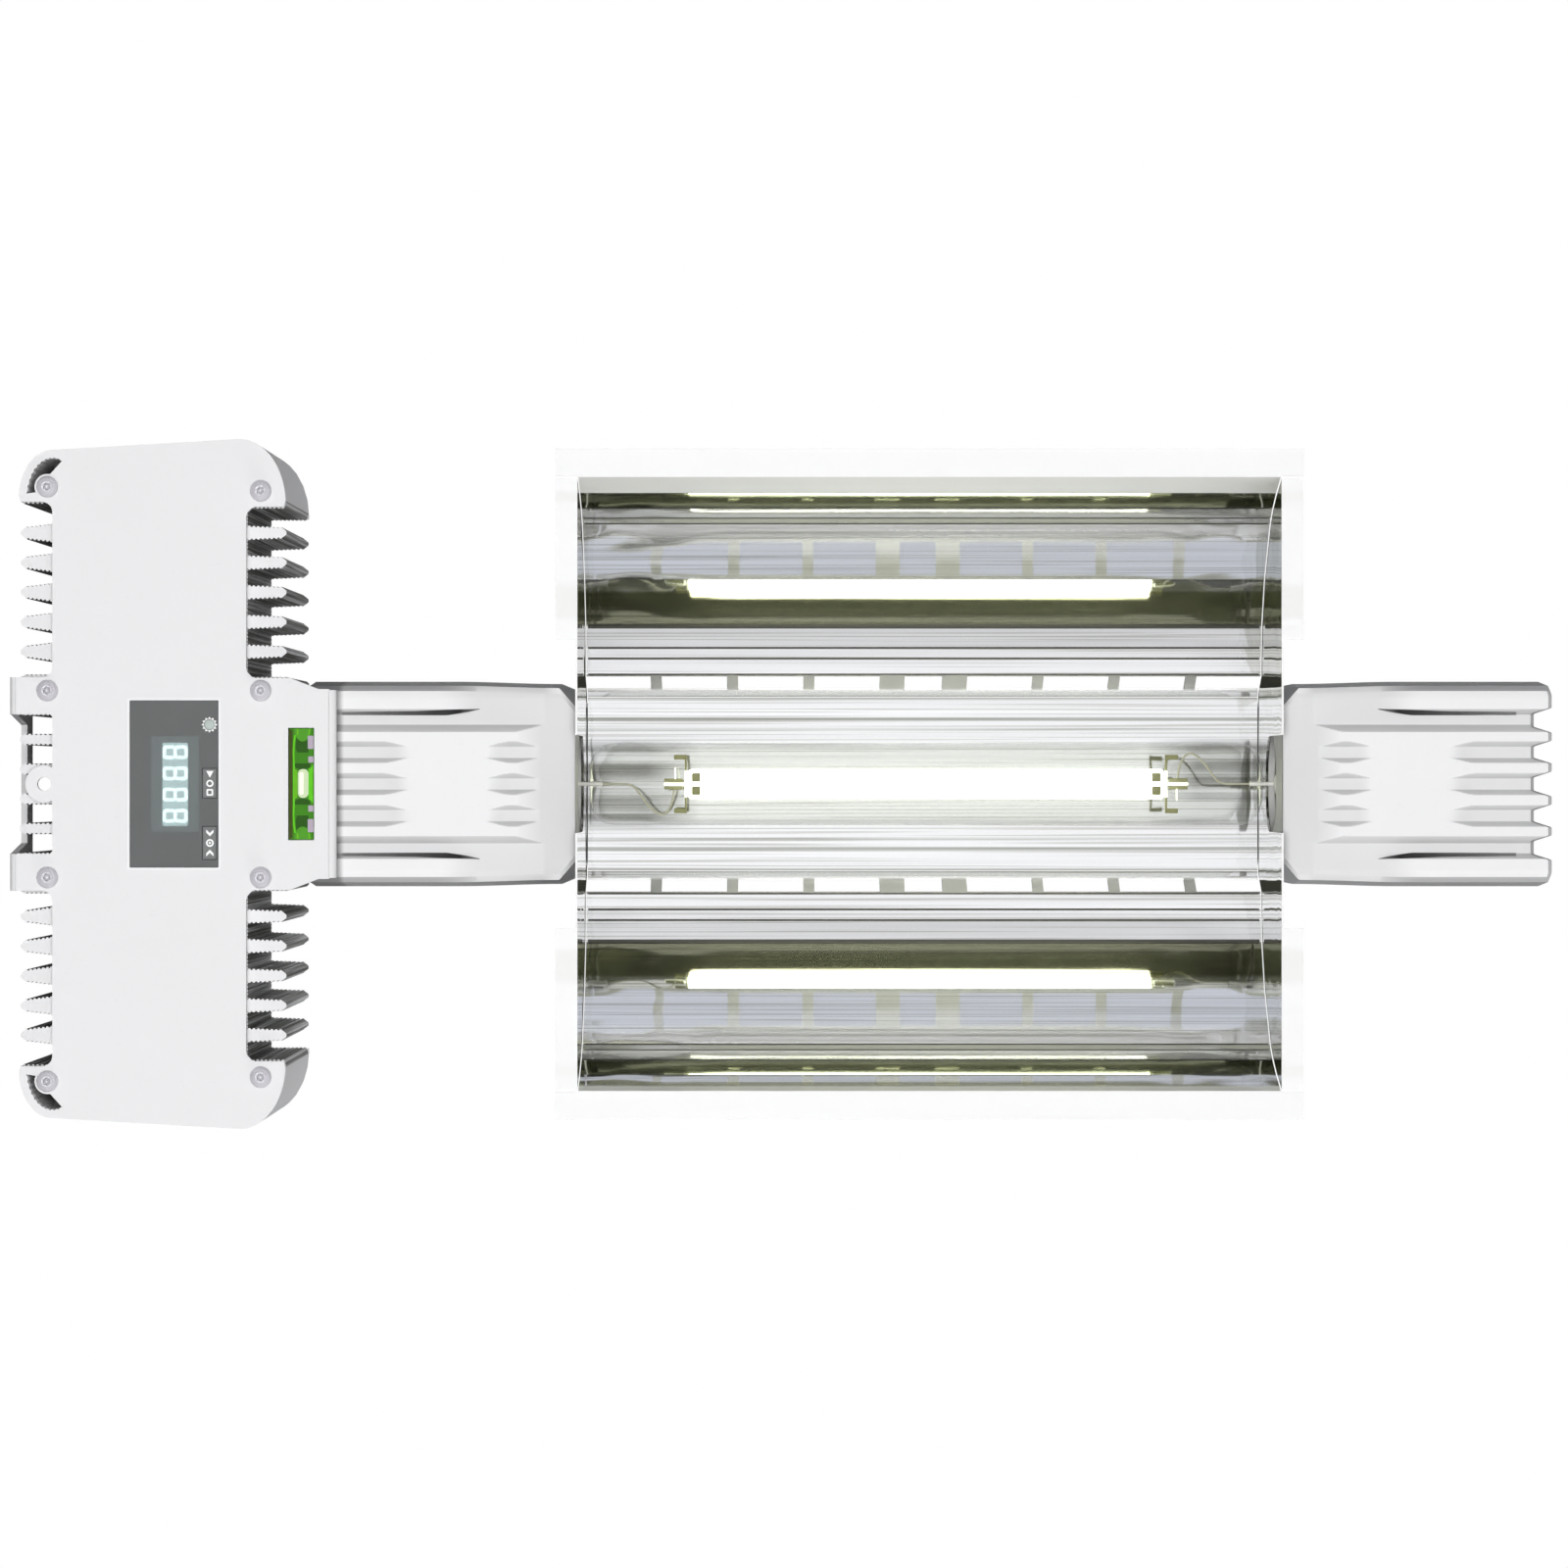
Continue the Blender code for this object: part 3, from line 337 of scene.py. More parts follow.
def painted_reflections(look, streaks, lit_side):
    """Painted reflections: darker, tinted bands along the folds, a streaked darkening by the lamp,
    and a dark olive tint on the inner face at an end.
    """
    stops = [(0.0, PLAIN)]
    for low, high, tint in PAINTED_REFLECTION_BANDS:
        stops += [(low - BAND_EDGE, PLAIN), (low, tint), (high, tint), (high + BAND_EDGE, PLAIN)]
    bands = across_ramp(look, stops)
    x, y = look.place("X"), look.place("Y")
    beside_lamp = look.times(look.between(look.size(x), 0, 1, 0.0900, 0.1120),
                             look.between(look.size(y), 0, 1, 0.0195, 0.0150))
    dim = look.ramp(streaks, ((0.38, (0.16, 0.16, 0.15)), (0.50, (0.45, 0.45, 0.45)),
                              (0.62, (0.85, 0.85, 0.86))))
    tint = look.mix(lit_side, PLAIN, look.mix(look.times(beside_lamp, 0.85), bands, dim))
    inner_end = look.below(look.times(look.facing("X"), x), -0.1)
    end = look.times(inner_end, look.below(y, -0.034))
    return look.mix(look.times(end, 0.9), tint, END_SHEET_PAINTED_REFLECTION)


def mirror_sheet(name):
    """Polished reflector sheet: a sharp mirror with a faint wide lobe, rolling lines along X,
    matt bands, painted reflections in its colour, and white paint on its flange and lip."""
    look = Look(name, (0.90, 0.905, 0.915), 0.035, 1.0)
    lines = look.noise(900, stretch=(0.012, 1, 1), detail=3)
    bands = look.noise(230, stretch=(0.012, 1, 1))
    dust = look.noise(260, detail=4)
    lit_side = look.below(look.facing("Z"), -0.02)

    sheen = look.mix(look.ramp(bands, ((0.35, 0.0), (0.65, 1.0))), (0.97, 0.975, 0.985),
                     (0.86, 0.865, 0.875))
    scores = look.noise(1300, stretch=(0.004, 1, 1), detail=1)
    look.colour(look.mix(look.ramp(scores, ((0.34, 0.0), (0.46, 1.0))), (0.62, 0.62, 0.60), sheen))
    # painted reflections: darker, tinted bands and patches on the mirror's colour
    look.shaded(painted_reflections(look, bands, lit_side))
    look.roughness(lines, 0.025, 0.06)

    near_end = look.ramp(look.times(look.size(look.place("X")), 7.0), ((0.50, 0.0), (0.95, 1.0)),
                         "EASE")
    waves = look.times(look.noise(30, stretch=(1.0, 1.8, 1), detail=1), near_end)
    relief = look.maths("MULTIPLY_ADD", lines, 1.0, look.times(dust, 0.15))
    look.bump(look.maths("MULTIPLY_ADD", waves, 260.0, relief), 0.05, 0.00005)

    haze = look.node("BsdfAnisotropic", Color=HAZE, Roughness=0.38)
    metal = look.node("MixShader", i0=look.between(dust, 0.02, 0.055), i1=look.shader.outputs[0],
                      i2=haze.outputs[0])
    height = look.place("Z")
    lip = look.times(look.below(look.place("Y"), -0.1139), look.below(height, RIM + 0.024))
    flange = look.maths("MAXIMUM", look.times(lip, lit_side), look.below(height, RIM + 0.00095))
    white = look.maths("MAXIMUM", flange, look.times(across_ramp(look, SOFT_BANDS), lit_side))
    paint = look.mix(look.between(dust, 0.3, 0.7), (0.97, 0.97, 0.97), (0.93, 0.93, 0.93))
    return look.surface(look.times(white, 0.88), metal, look.node("BsdfDiffuse", Color=paint))


def bright_steel(name, colour=(0.74, 0.73, 0.78), roughness=0.22, lines=(1, 1, 1), metallic=1.0):
    """Plated or drawn metal, with a faint spangle and a fine grain along its lines."""
    look = Look(name, colour, roughness, metallic)
    grain = look.noise(600, stretch=lines, detail=3)
    look.colour(look.dulled(look.between(look.noise(140), 0.1, 0.9), colour, 0.82))
    look.roughness(grain, roughness * 0.6, roughness * 1.6)
    return look.bump(grain, 0.15, 0.00005)


SCREW_RADIUS, SCREW_HEIGHT = 0.00415, 0.0024


def shaded_screw_zinc(name):
    """Zinc plate with painted shade: darkened in the recess round the screw's axis, on the head's
    slope and at its rim, and left bright on the shoulder and pin.
    """
    look = bright_steel(name, (0.93, 0.91, 0.97), 0.28, metallic=0.35)
    flat = look.node("VectorMath", i0=look.coords, i1=(1.0, 1.0, 0.0))
    flat.operation = "MULTIPLY"
    radius = look.node("VectorMath", i0=flat.outputs["Vector"])
    radius.operation = "LENGTH"
    share = look.maths("DIVIDE", radius.outputs["Value"], SCREW_RADIUS)
    # painted shade by distance from the axis: dark in the recess and at the rim of the head
    return look.shaded(look.ramp(share, ((0.08, 1.0), (0.13, 0.62), (0.30, 0.48), (0.37, 1.0),
                                         (0.52, 1.0), (0.66, 0.88), (0.88, 0.97), (0.98, 0.72))))


def moulded(name, colour, roughness=0.45, texture=700, strength=0.25, contrast=0.75):
    """Moulded plastic, rubber or ceramic: a fine sparked texture and slight colour changes."""
    look = Look(name, colour, roughness)
    fine = look.noise(texture, detail=3)
    look.colour(look.dulled(look.noise(30, detail=3), colour, contrast))
    look.roughness(fine, roughness * 0.8, min(1.0, roughness * 1.25))
    return look.bump(fine, strength, 0.0001)


def clear_quartz(name):
    """Thin clear glass: it passes light straight and mirrors at its edges."""
    look = Look(name, (0.98, 1.0, 0.97), 0.02)
    clear = look.node("BsdfTransparent", Color=(0.985, 0.99, 0.975, 1))
    gloss = look.node("BsdfAnisotropic", Color=(1, 1, 1, 1),
                      Roughness=look.between(look.noise(40), 0.015, 0.05))
    rim = look.maths("POWER", look.node("LayerWeight", Blend=0.5).outputs["Facing"], 4.0)
    return look.surface(look.maths("MULTIPLY_ADD", rim, 0.80, 0.02), clear, gloss)


def glowing(name, colour, strength, variation=0.06, scale=60):
    """A face that gives off light of its own colour."""
    look = Look(name, colour, 0.3)
    return look.glow(look.dulled(look.noise(scale), colour, 1 - variation), strength)


def lit(name, base, colour, strength, variation=0.1, scale=400):
    """A tinted face that also gives off light."""
    look = glowing(name, colour, strength, variation, scale)
    return look.colour(look.dulled(look.noise(scale), base, 0.85))


def fluorescent(name, colour, roughness=0.12, light=0.25, wash=0.75):
    """Clear green acrylic, glowing a little from the light it gathers."""
    look = Look(name, colour, roughness, Specular_IOR_Level=0.12)
    look.roughness(look.noise(900), roughness * 0.7, roughness * 1.5)
    return look.glow(look.dulled(look.noise(260, detail=3), colour, wash), light)


def smoked_pane(name, tone=1.0):
    """Smoked acrylic that lets the lit display through."""
    look = Look(name, (0.150, 0.156, 0.158), 0.16, Specular_IOR_Level=0.5)
    cloud = look.noise(45, detail=3)
    look.colour(look.mix(cloud, scaled((0.160, 0.165, 0.167), tone),
                         scaled((0.145, 0.150, 0.148), tone)))
    look.roughness(look.noise(500), 0.12, 0.22)
    look.bump(look.noise(1500), 0.04, 0.00003)
    clear = look.node("BsdfTransparent", Color=(0.92, 1.0, 1.0, 1))
    return look.surface(look.between(cloud, 0.24, 0.26), look.shader, clear)


def circuit_green(name):
    """Solder mask with copper tracks under it and tinned pads."""
    look = Look(name, (0.03, 0.17, 0.08), 0.35)
    cells = look.node("TexVoronoi", Vector=look.coords, Scale=260)
    cells.feature = "DISTANCE_TO_EDGE"
    tracks = look.ramp(cells.outputs["Distance"], ((0.04, 1.0), (0.09, 0.0)))
    pads = look.node("TexVoronoi", Vector=look.coords, Scale=420).outputs["Distance"]
    colour = look.mix(tracks, (0.02, 0.13, 0.055), (0.05, 0.25, 0.11))
    look.colour(look.mix(look.ramp(pads, ((0.10, 1.0), (0.14, 0.0))), colour, (0.72, 0.72, 0.68)))
    return look.bump(tracks, 0.3, 0.00005)


def laminations(name):
    """The stacked steel sheets of a transformer core."""
    look = Look(name, (0.28, 0.28, 0.30), 0.4, 0.8)
    layers = look.noise(1800, stretch=(0.02, 0.02, 1), detail=1)
    look.colour(look.mix(layers, (0.16, 0.15, 0.15), (0.34, 0.33, 0.34)))
    return look.bump(layers, 0.5, 0.0002)


def slit_shade(name):
    """Painted shade for a slit: dark, lighter towards the arm's outer end."""
    look = Look(name, (0.1, 0.1, 0.1), 0.6)
    reach = look.between(look.size(look.place("X")), 0, 1, 0.176, 0.230)
    tone = look.ramp(reach, ((0.0, 0.30), (0.12, 0.05), (0.30, 0.10), (1.0, 0.42)))
    return look.colour(look.mix(1.0, tone, look.between(look.noise(500), 0.85, 1.15), "MULTIPLY"))


WHITE = powder_coat("powder_coat_white")
WHITE_EXTRUDED = shaded_wall_coat("powder_coat_extrusion")
WHITE_ARM = fluted_coat("powder_coat_arm", (0.875, 0.875, 0.88))
SCREW_STEEL = shaded_screw_zinc("shaded_screw_zinc")
RIM_WHITE = moulded("rim_white", (0.93, 0.93, 0.94), 0.35, 300, 0.05, 0.97)
MASK_GREY = moulded("window_mask", (0.16, 0.165, 0.155), 0.7, 500, 0.1, 0.95)
# the dark film of painted shade along the mirror's folds
FOLD_SHADE = bright_steel("fold_painted_shade", (0.10, 0.10, 0.085), 0.30, (0.05, 1, 1), 0.6)
# white print that also gives off a little light: real print with a painted glow
PRINT_WHITE = lit("print_white", (0.92, 0.92, 0.92), (1, 1, 1), 0.12, 0.03)
# The record's material slots
LOOKS = {
    "white_paint": WHITE,
    "mirror_sheet": mirror_sheet("mirror_aluminium"),
    "screw_steel": bright_steel("zinc_plated_steel"),
    "smoked_glass": moulded("smoked_acrylic", (0.12, 0.125, 0.125), 0.14, 300, 0.03, 0.9),
    "black_plastic": moulded("black_moulding", (0.035, 0.035, 0.037), 0.5),
    "circuit_board": circuit_green("solder_mask"),
    "level_green": moulded("level_acrylic", (0.16, 0.72, 0.05), 0.12, 200, 0.03),
    "quartz": clear_quartz("fused_quartz"),
    "arc_white": glowing("arc_glow", (0.98, 1.0, 0.80), 6.0),
    "lamp_wire": bright_steel("nickel_wire", (0.60, 0.60, 0.55), 0.30, (0.05, 1, 1)),
    "ceramic_white": moulded("steatite", (0.86, 0.85, 0.81), 0.6, 500, 0.35, 0.93),
    "core_steel": laminations("core_laminations"),
    "capacitor_sleeve": moulded("shrink_sleeve", (0.05, 0.07, 0.22), 0.35, 200, 0.1),
    "silicone": moulded("silicone_lead", (0.74, 0.73, 0.69), 0.6, 400, 0.2, 0.9),
    "gasket_rubber": moulded("gasket_rubber", (0.04, 0.04, 0.04), 0.85, 900, 0.4),
}

# CAD nodes with sharp corners that stay in view, and how far their edges are rounded
EASED_NODES = {
    "chassis_beam": 0.0007, "top_plate": 0.0004, "mains_inlet": 0.0003, "control_port_in": 0.0003,
    "control_port_out": 0.0003, "left_hanger_bracket": 0.0003, "right_hanger_bracket": 0.0003,
    "left_lamp_holder": 0.0004, "right_lamp_holder": 0.0004, "power_transformer": 0.0005,
    "filter_choke": 0.0005,
}


def dress_cad_nodes():
    """Gives each CAD node its detailed material, and rounds the edges of the ones listed."""
    for row in frame["record"]["subparts"]:
        node = NODES[row["node"]]
        node.data.materials.clear()
        node.data.materials.append(LOOKS[row["material_slot"]].material)
        if row["node"] in EASED_NODES:
            node.modifiers.new("Joined corners", "WELD").merge_threshold = 1e-5
            rounding = node.modifiers.new("Eased edges", "BEVEL")
            rounding.width = EASED_NODES[row["node"]]
            rounding.segments = 2
            rounding.limit_method = "ANGLE"
            rounding.angle_limit = math.radians(40)
            rounding.use_clamp_overlap = True


# ------------------------------------------------------------------ mesh tools

ALONG_X = Matrix(((0, 0, 1, 0), (1, 0, 0, 0), (0, 1, 0, 0), (0, 0, 0, 1)))
QUARTER_TURN = Matrix.Rotation(math.pi / 2, 4, "Y")


def put(name, mesh, look, body="fixture", replaces=(), matrix=None):
    """A mesh as a shown piece that rides on a CAD body."""
    mesh.name = name
    piece = bpy.data.objects.new(name, mesh)
    if matrix is not None:
        piece.matrix_world = matrix
    bpy.context.scene.collection.objects.link(piece)
    mesh.materials.clear()
    mesh.materials.append(look.material)
    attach(piece, body)
    if replaces:
        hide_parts(*replaces)


def smooth(mesh, angle):
    mesh.shade_smooth()
    mesh.set_sharp_from_angle(angle=math.radians(angle))
    return mesh


def baked(shape, angle=None):
    """The bmesh as a mesh, shaded smooth up to an angle if one is given."""
    mesh = bpy.data.meshes.new("mesh")
    shape.to_mesh(mesh)
    shape.free()
    return smooth(mesh, angle) if angle else mesh


def shape_of(*meshes):
    """The meshes together as one bmesh, and the meshes removed."""
    shape = bmesh.new()
    for mesh in meshes:
        shape.from_mesh(mesh)
        bpy.data.meshes.remove(mesh)
    return shape


def merged(meshes, angle=None):
    return baked(shape_of(*meshes), angle)


def as_shown(holder):
    """The mesh of an object with its modifiers applied, or of a curve with its thickness."""
    bpy.context.view_layer.update()
    return bpy.data.meshes.new_from_object(
        holder.evaluated_get(bpy.context.evaluated_depsgraph_get()))


def cut(mesh, cutter):
    """The mesh cut by another, with the cutter removed."""
    target = bpy.data.objects.new("target", mesh)
    tool = bpy.data.objects.new("tool", cutter)
    for holder in (target, tool):
        bpy.context.scene.collection.objects.link(holder)
    modifier = target.modifiers.new("cut", "BOOLEAN")
    modifier.operation = "DIFFERENCE"
    modifier.object = tool
    made = as_shown(target)
    bpy.data.objects.remove(target)
    bpy.data.objects.remove(tool)
    bpy.data.meshes.remove(cutter)
    return made


FILL_SCALE = 1000.0     # outlines are filled in millimetres, where the sums are exact enough


def inside_loops(spots, loops):
    """Which of the spots lie within an odd number of the loops."""
    odd = np.zeros(len(spots), dtype=bool)
    for loop in loops:
        for (x0, y0), (x1, y1) in zip(loop, loop[1:] + loop[:1]):
            if y0 == y1:
                continue
            crosses = (spots[:, 1] < y0) != (spots[:, 1] < y1)
            odd ^= crosses & (spots[:, 0] < x0 + (spots[:, 1] - y0) * (x1 - x0) / (y1 - y0))
    return odd


def outline_mesh(loops, low, high):
    """A flat outline, its inner loops cut out, extruded from low to high along Z."""
    loops = [[(x * FILL_SCALE, y * FILL_SCALE) for x, y in loop] for loop in loops]
    points, edges = [], []
    for loop in loops:
        start = len(points)
        points += [Vector(point) for point in loop]
        edges += [(start + i, start + (i + 1) % len(loop)) for i in range(len(loop))]
    corners, _, faces = delaunay_2d_cdt(points, edges, [], 0, 1e-4)[:3]
    middles = np.array([[sum(corners[i][axis] for i in face) / len(face) for axis in (0, 1)]
                        for face in faces])
    shape = bmesh.new()
    lower, upper = (
        [shape.verts.new((x / FILL_SCALE, y / FILL_SCALE, z)) for x, y in corners]
        for z in (low, high)
    )
    sides = {}
    for face, kept in zip(faces, inside_loops(middles, loops)):
        if kept:
            shape.faces.new([lower[i] for i in reversed(face)])
            shape.faces.new([upper[i] for i in face])
            sides.update(dict.fromkeys(zip(face, face[1:] + face[:1])))
    for i, j in sides:
        if (j, i) not in sides:
            shape.faces.new((lower[i], lower[j], upper[j], upper[i]))
    bmesh.ops.delete(shape, geom=[v for v in shape.verts if not v.link_faces], context="VERTS")
    return baked(shape)


def rod_mesh(points, radius):
    """A round wire through the points, as a closed mesh."""
    curve = bpy.data.curves.new("rod", "CURVE")
    curve.dimensions = "3D"
    curve.bevel_depth = radius
    curve.bevel_resolution = 5
    curve.use_fill_caps = True
    spline = curve.splines.new("POLY")
    spline.points.add(len(points) - 1)
    for point, position in zip(spline.points, points):
        point.co = (*position, 1)
    holder = bpy.data.objects.new("rod", curve)
    bpy.context.scene.collection.objects.link(holder)
    shape = shape_of(as_shown(holder))
    bpy.data.objects.remove(holder)
    bpy.data.curves.remove(curve)
    bmesh.ops.remove_doubles(shape, verts=shape.verts, dist=1e-6)
    bmesh.ops.recalc_face_normals(shape, faces=shape.faces)
    return baked(shape, 40)


def ring_of(shape, radius, height, steps, lobes=0.0):
    """Vertices round the Z axis; six lobes may make the radius rise and fall."""
    made = []
    for i in range(steps):
        angle = 2 * math.pi * i / steps
        r = radius * (1 + lobes * math.cos(6 * angle))
        made.append(shape.verts.new((r * math.cos(angle), r * math.sin(angle), height)))
    return made


def bridge(shape, first, second):
    """Faces between two closed rows of vertices; a corner that is in both is used once."""
    for i in range(len(first)):
        j = (i + 1) % len(first)
        corners = dict.fromkeys((first[i], first[j], second[j], second[i]))
        if len(corners) > 2:
            shape.faces.new(list(corners))


def turned_mesh(profile, steps=64, skin=False):
    """A (radius, height) profile turned about Z; a skin is not closed from its end to its start."""
    shape = bmesh.new()
    rings = []
    for radius, height in profile:
        on_axis = radius < 1e-7
        rings.append([shape.verts.new((0, 0, height))] * steps if on_axis
                     else ring_of(shape, radius, height, steps))
    closed = profile[0][0] > 1e-7 and not skin
    for first, second in list(zip(rings, rings[1:])) + ([(rings[-1], rings[0])] if closed else []):
        bridge(shape, first, second)
    bmesh.ops.recalc_face_normals(shape, faces=shape.faces)
    return baked(shape, 32)


def block_mesh(x, y, z, bevel=0.0):
    """A block between the low and high values of x, y and z, its edges rounded."""
    shape = bmesh.new()
    bmesh.ops.create_cube(shape, size=1.0)
    bmesh.ops.scale(shape, verts=shape.verts, vec=(x[1] - x[0], y[1] - y[0], z[1] - z[0]))
    bmesh.ops.translate(shape, verts=shape.verts,
                        vec=((x[0] + x[1]) / 2, (y[0] + y[1]) / 2, (z[0] + z[1]) / 2))
    if bevel:
        bmesh.ops.bevel(shape, geom=shape.edges[:], offset=bevel, segments=2, profile=0.5,
                        affect="EDGES")
    return baked(shape)


def node_block(node, bevel):
    """A block in the place of a CAD node's box."""
    low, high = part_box(node)
    return block_mesh((low.x, high.x), (low.y, high.y), (low.z, high.z), bevel)


def arc(x, y, radius_x, radius_y, start, end, steps):
    angles = [math.radians(start + (end - start) * i / steps) for i in range(steps + 1)]
    return [(x + radius_x * math.cos(a), y + radius_y * math.sin(a)) for a in angles]


def circle(x, y, radius, steps=32):
    return arc(x, y, radius, radius, 0, 360 - 360 / steps, steps - 1)


def rounded_box(x, y, radius, steps=5):
    """A rectangle with round corners."""
    loop = []
    for cx, cy, start in ((x[1], y[1], 0), (x[0], y[1], 90), (x[0], y[0], 180), (x[1], y[0], 270)):
        dx = radius if cx == x[0] else -radius
        dy = radius if cy == y[0] else -radius
        loop += arc(cx + dx, cy + dy, radius, radius, start, start + 90, steps)
    return loop


def node_outline(node, margin, radius):
    """The outline of a CAD node's box along Z, grown by a margin, with round corners."""
    low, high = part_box(node)
    return rounded_box((low.x - margin, high.x + margin), (low.y - margin, high.y + margin),
                       radius, 3)


def mirrored(half):
    """A half outline on the +Y side, and its image."""
    return half + [(x, -y) for x, y in reversed(half) if y > 1e-6]


def both(loop):
    return [loop, [(x, -y) for x, y in loop]]


def filleted(points, radius, steps=6):
    """The points joined by straight runs, with each corner rounded."""
    path = [points[0]]
    for before, corner, after in zip(points, points[1:], points[2:]):
        entry, leave = (
            [c + (e - c) * min(radius / math.dist(corner, end), 0.5) for c, e in zip(corner, end)]
            for end in (before, after)
        )
        for i in range(steps + 1):
            t = i / steps
            path.append([(1 - t) ** 2 * a + 2 * t * (1 - t) * c + t * t * b
                         for a, c, b in zip(entry, corner, leave)])
    return path + [points[-1]]


def toothed(start, end, pitch=0.0017, depth=0.00050, side=1):
    """Points from start to end along fine extrusion ridges that stand out to one side."""
    length = math.dist(start, end)
    count = max(1, round(length / pitch))
    dx, dy = ((e - s) / length for s, e in zip(start, end))
    nx, ny = -dy * side, dx * side
    points = []
    for i in range(count):
        for share, out in ((0.12, 0.0), (0.32, 1.0), (0.68, 1.0), (0.88, 0.0)):
            t = (i + share) / count * length
            points.append((start[0] + dx * t + nx * depth * out,
                           start[1] + dy * t + ny * depth * out))
    return [start] + points + [end]


# ------------------------------------------------------------------ ballast

CORE_X = (-0.3400, -0.2649)
CAVITY_X = (-0.3350, -0.2700)
CAVITY_HALF_LENGTH = 0.1235
FIN_PITCH, FIN_FIRST, FIN_COUNT = 0.01153, 0.0514, 5
LEFT_FIN_TIP_X, RIGHT_FIN_TIP_X = -0.3528, -0.2496
SLIM_FIN_FIRST, SLIM_FIN_HALF, SLIM_FIN_TIP_X = 0.00577, 0.0017, -0.3531
PORT_BLOCK_X = -0.3472
RIGHT_BLOCK_Y = 0.0411
EAR_Y = (0.0271, 0.0414)
FLAP_X, FLAP_RISE, FLAP_BEND = (-0.3566, -0.3542), 0.054, 0.0023
FLAP_NOTCH_HALF_WIDTHS, FLAP_NOTCH_RISE = (0.0271, 0.0232), 0.0367
BOSS, BOSS_HOLE = (-0.3432, 0.0, 0.0072), 0.00265
# Middle x and y, and the two radii
LEFT_CORNER = (-0.3399, 0.1109, 0.0131, 0.0186)
RIGHT_CORNER = (-0.2673, 0.1086, 0.0177, 0.0251)
POCKET_WALL = 0.0030
LEFT_FOOT_Y, RIGHT_FOOT_Y = 0.1094, 0.1075
SCREW_POINTS = ((-0.3419, 0.0362), (-0.3419, 0.1152), (-0.2592, 0.0362), (-0.2592, 0.1136))
PLATE = 0.003
TONGUE_EDGE_X, TONGUE_HALF_LENGTH, TONGUE_ROLL = -0.2300, 0.0364, 0.0027
FLOOR_RIDGES = {"pitch": 0.0013, "depth": 0.00030}


def fin_outline(root_x, tip_x, root_half, tip_half, y, run):
    """One ridged fin with a round tip, walked towards rising y if run is 1, or falling if -1."""
    direction = 1 if tip_x > root_x else -1
    side = -direction * run
    reach = tip_x - direction * tip_half * 0.8
    near = toothed((root_x, y - run * root_half), (reach, y - run * tip_half), side=side)
    tip = [(tip_x, y - run * tip_half * 0.35), (tip_x, y + run * tip_half * 0.35)]
    far = toothed((reach, y + run * tip_half), (root_x, y + run * root_half), side=side)
    return near + tip + far


def fin_group(root_x, tip_x, root_half, tip_half, first_y, last_y):
    """Five fins and the ridged channel floors between them, from first_y to last_y."""
    run = 1 if last_y > first_y else -1
    side = -run if tip_x > root_x else run
    points, last = [], (root_x, first_y)
    for i in range(FIN_COUNT)[::run]:
        fin = fin_outline(root_x, tip_x, root_half, tip_half, FIN_FIRST + FIN_PITCH * i, run)
        points += toothed(last, fin[0], side=side, **FLOOR_RIDGES)[:-1] + fin
        last = fin[-1]
    return points[:-1] + toothed(last, (root_x, last_y), side=side, **FLOOR_RIDGES)


def slim_fins():
    """The slim left fins, from the outer one in, with a block between two for a screw port."""
    points = []
    for i in (3, 2, 1, 0):
        y = SLIM_FIN_FIRST + FIN_PITCH * i
        high, low = y + SLIM_FIN_HALF, y - SLIM_FIN_HALF
        outer_root = PORT_BLOCK_X if i == 2 else CORE_X[0]
        inner_root = PORT_BLOCK_X if i == 3 else CORE_X[0]
        if i != 2:
            points += [(outer_root, high + 0.0013), (outer_root - 0.0004, high + 0.0004)]
        points += toothed((outer_root - 0.0014, high), (SLIM_FIN_TIP_X + 0.0012, high), side=-1)
        points += arc(SLIM_FIN_TIP_X + 0.0012, y, 0.0012, SLIM_FIN_HALF, 115, 245, 6)
        points += toothed((SLIM_FIN_TIP_X + 0.0012, low), (inner_root - 0.0014, low), side=-1)
        if i != 3:
            points += [(inner_root - 0.0004, low - 0.0004), (inner_root, low - 0.0013)]
    return points


def ballast_half(fins):
    """The +Y half of the outline, from the right block round to the left side: the extrusion with
    its fins, or the plate with a round corner where each row of fins shows."""
    left_tip = LEFT_CORNER[0] - LEFT_CORNER[2] + 0.0006
    right_tip = RIGHT_FIN_TIP_X - 0.0006
    left, right = CORE_X
    half = [(right, RIGHT_BLOCK_Y)]
    if fins:
        half += fin_group(right, RIGHT_FIN_TIP_X, 0.0023, 0.0017, RIGHT_BLOCK_Y, RIGHT_FOOT_Y)[1:]
        half += toothed((right, RIGHT_FOOT_Y), (right_tip, RIGHT_FOOT_Y), side=-1)[1:]
    else:
        half += [(right + dx, RIGHT_FOOT_Y - dy) for dx, dy in
                 ((0, 0.0040), (0.0005, 0.0022), (0.0022, 0.0005), (0.0038, 0))]
        half += [(right_tip, RIGHT_FOOT_Y)]
    half += arc(*RIGHT_CORNER, 3, 90, 20) + arc(*LEFT_CORNER, 90, 177, 20)
    half += [(left_tip, LEFT_FOOT_Y)]
    if fins:
        half += toothed((left_tip, LEFT_FOOT_Y), (left, LEFT_FOOT_Y), side=-1)[1:-1]
        half += fin_group(left, LEFT_FIN_TIP_X, 0.0032, 0.0018, LEFT_FOOT_Y, 0.0440) + slim_fins()
    else:
        half += [(left - dx, LEFT_FOOT_Y - dy) for dx, dy in
                 ((0.0036, 0), (0.0020, 0.0005), (0.0004, 0.0020), (0, 0.0038))]
    return half


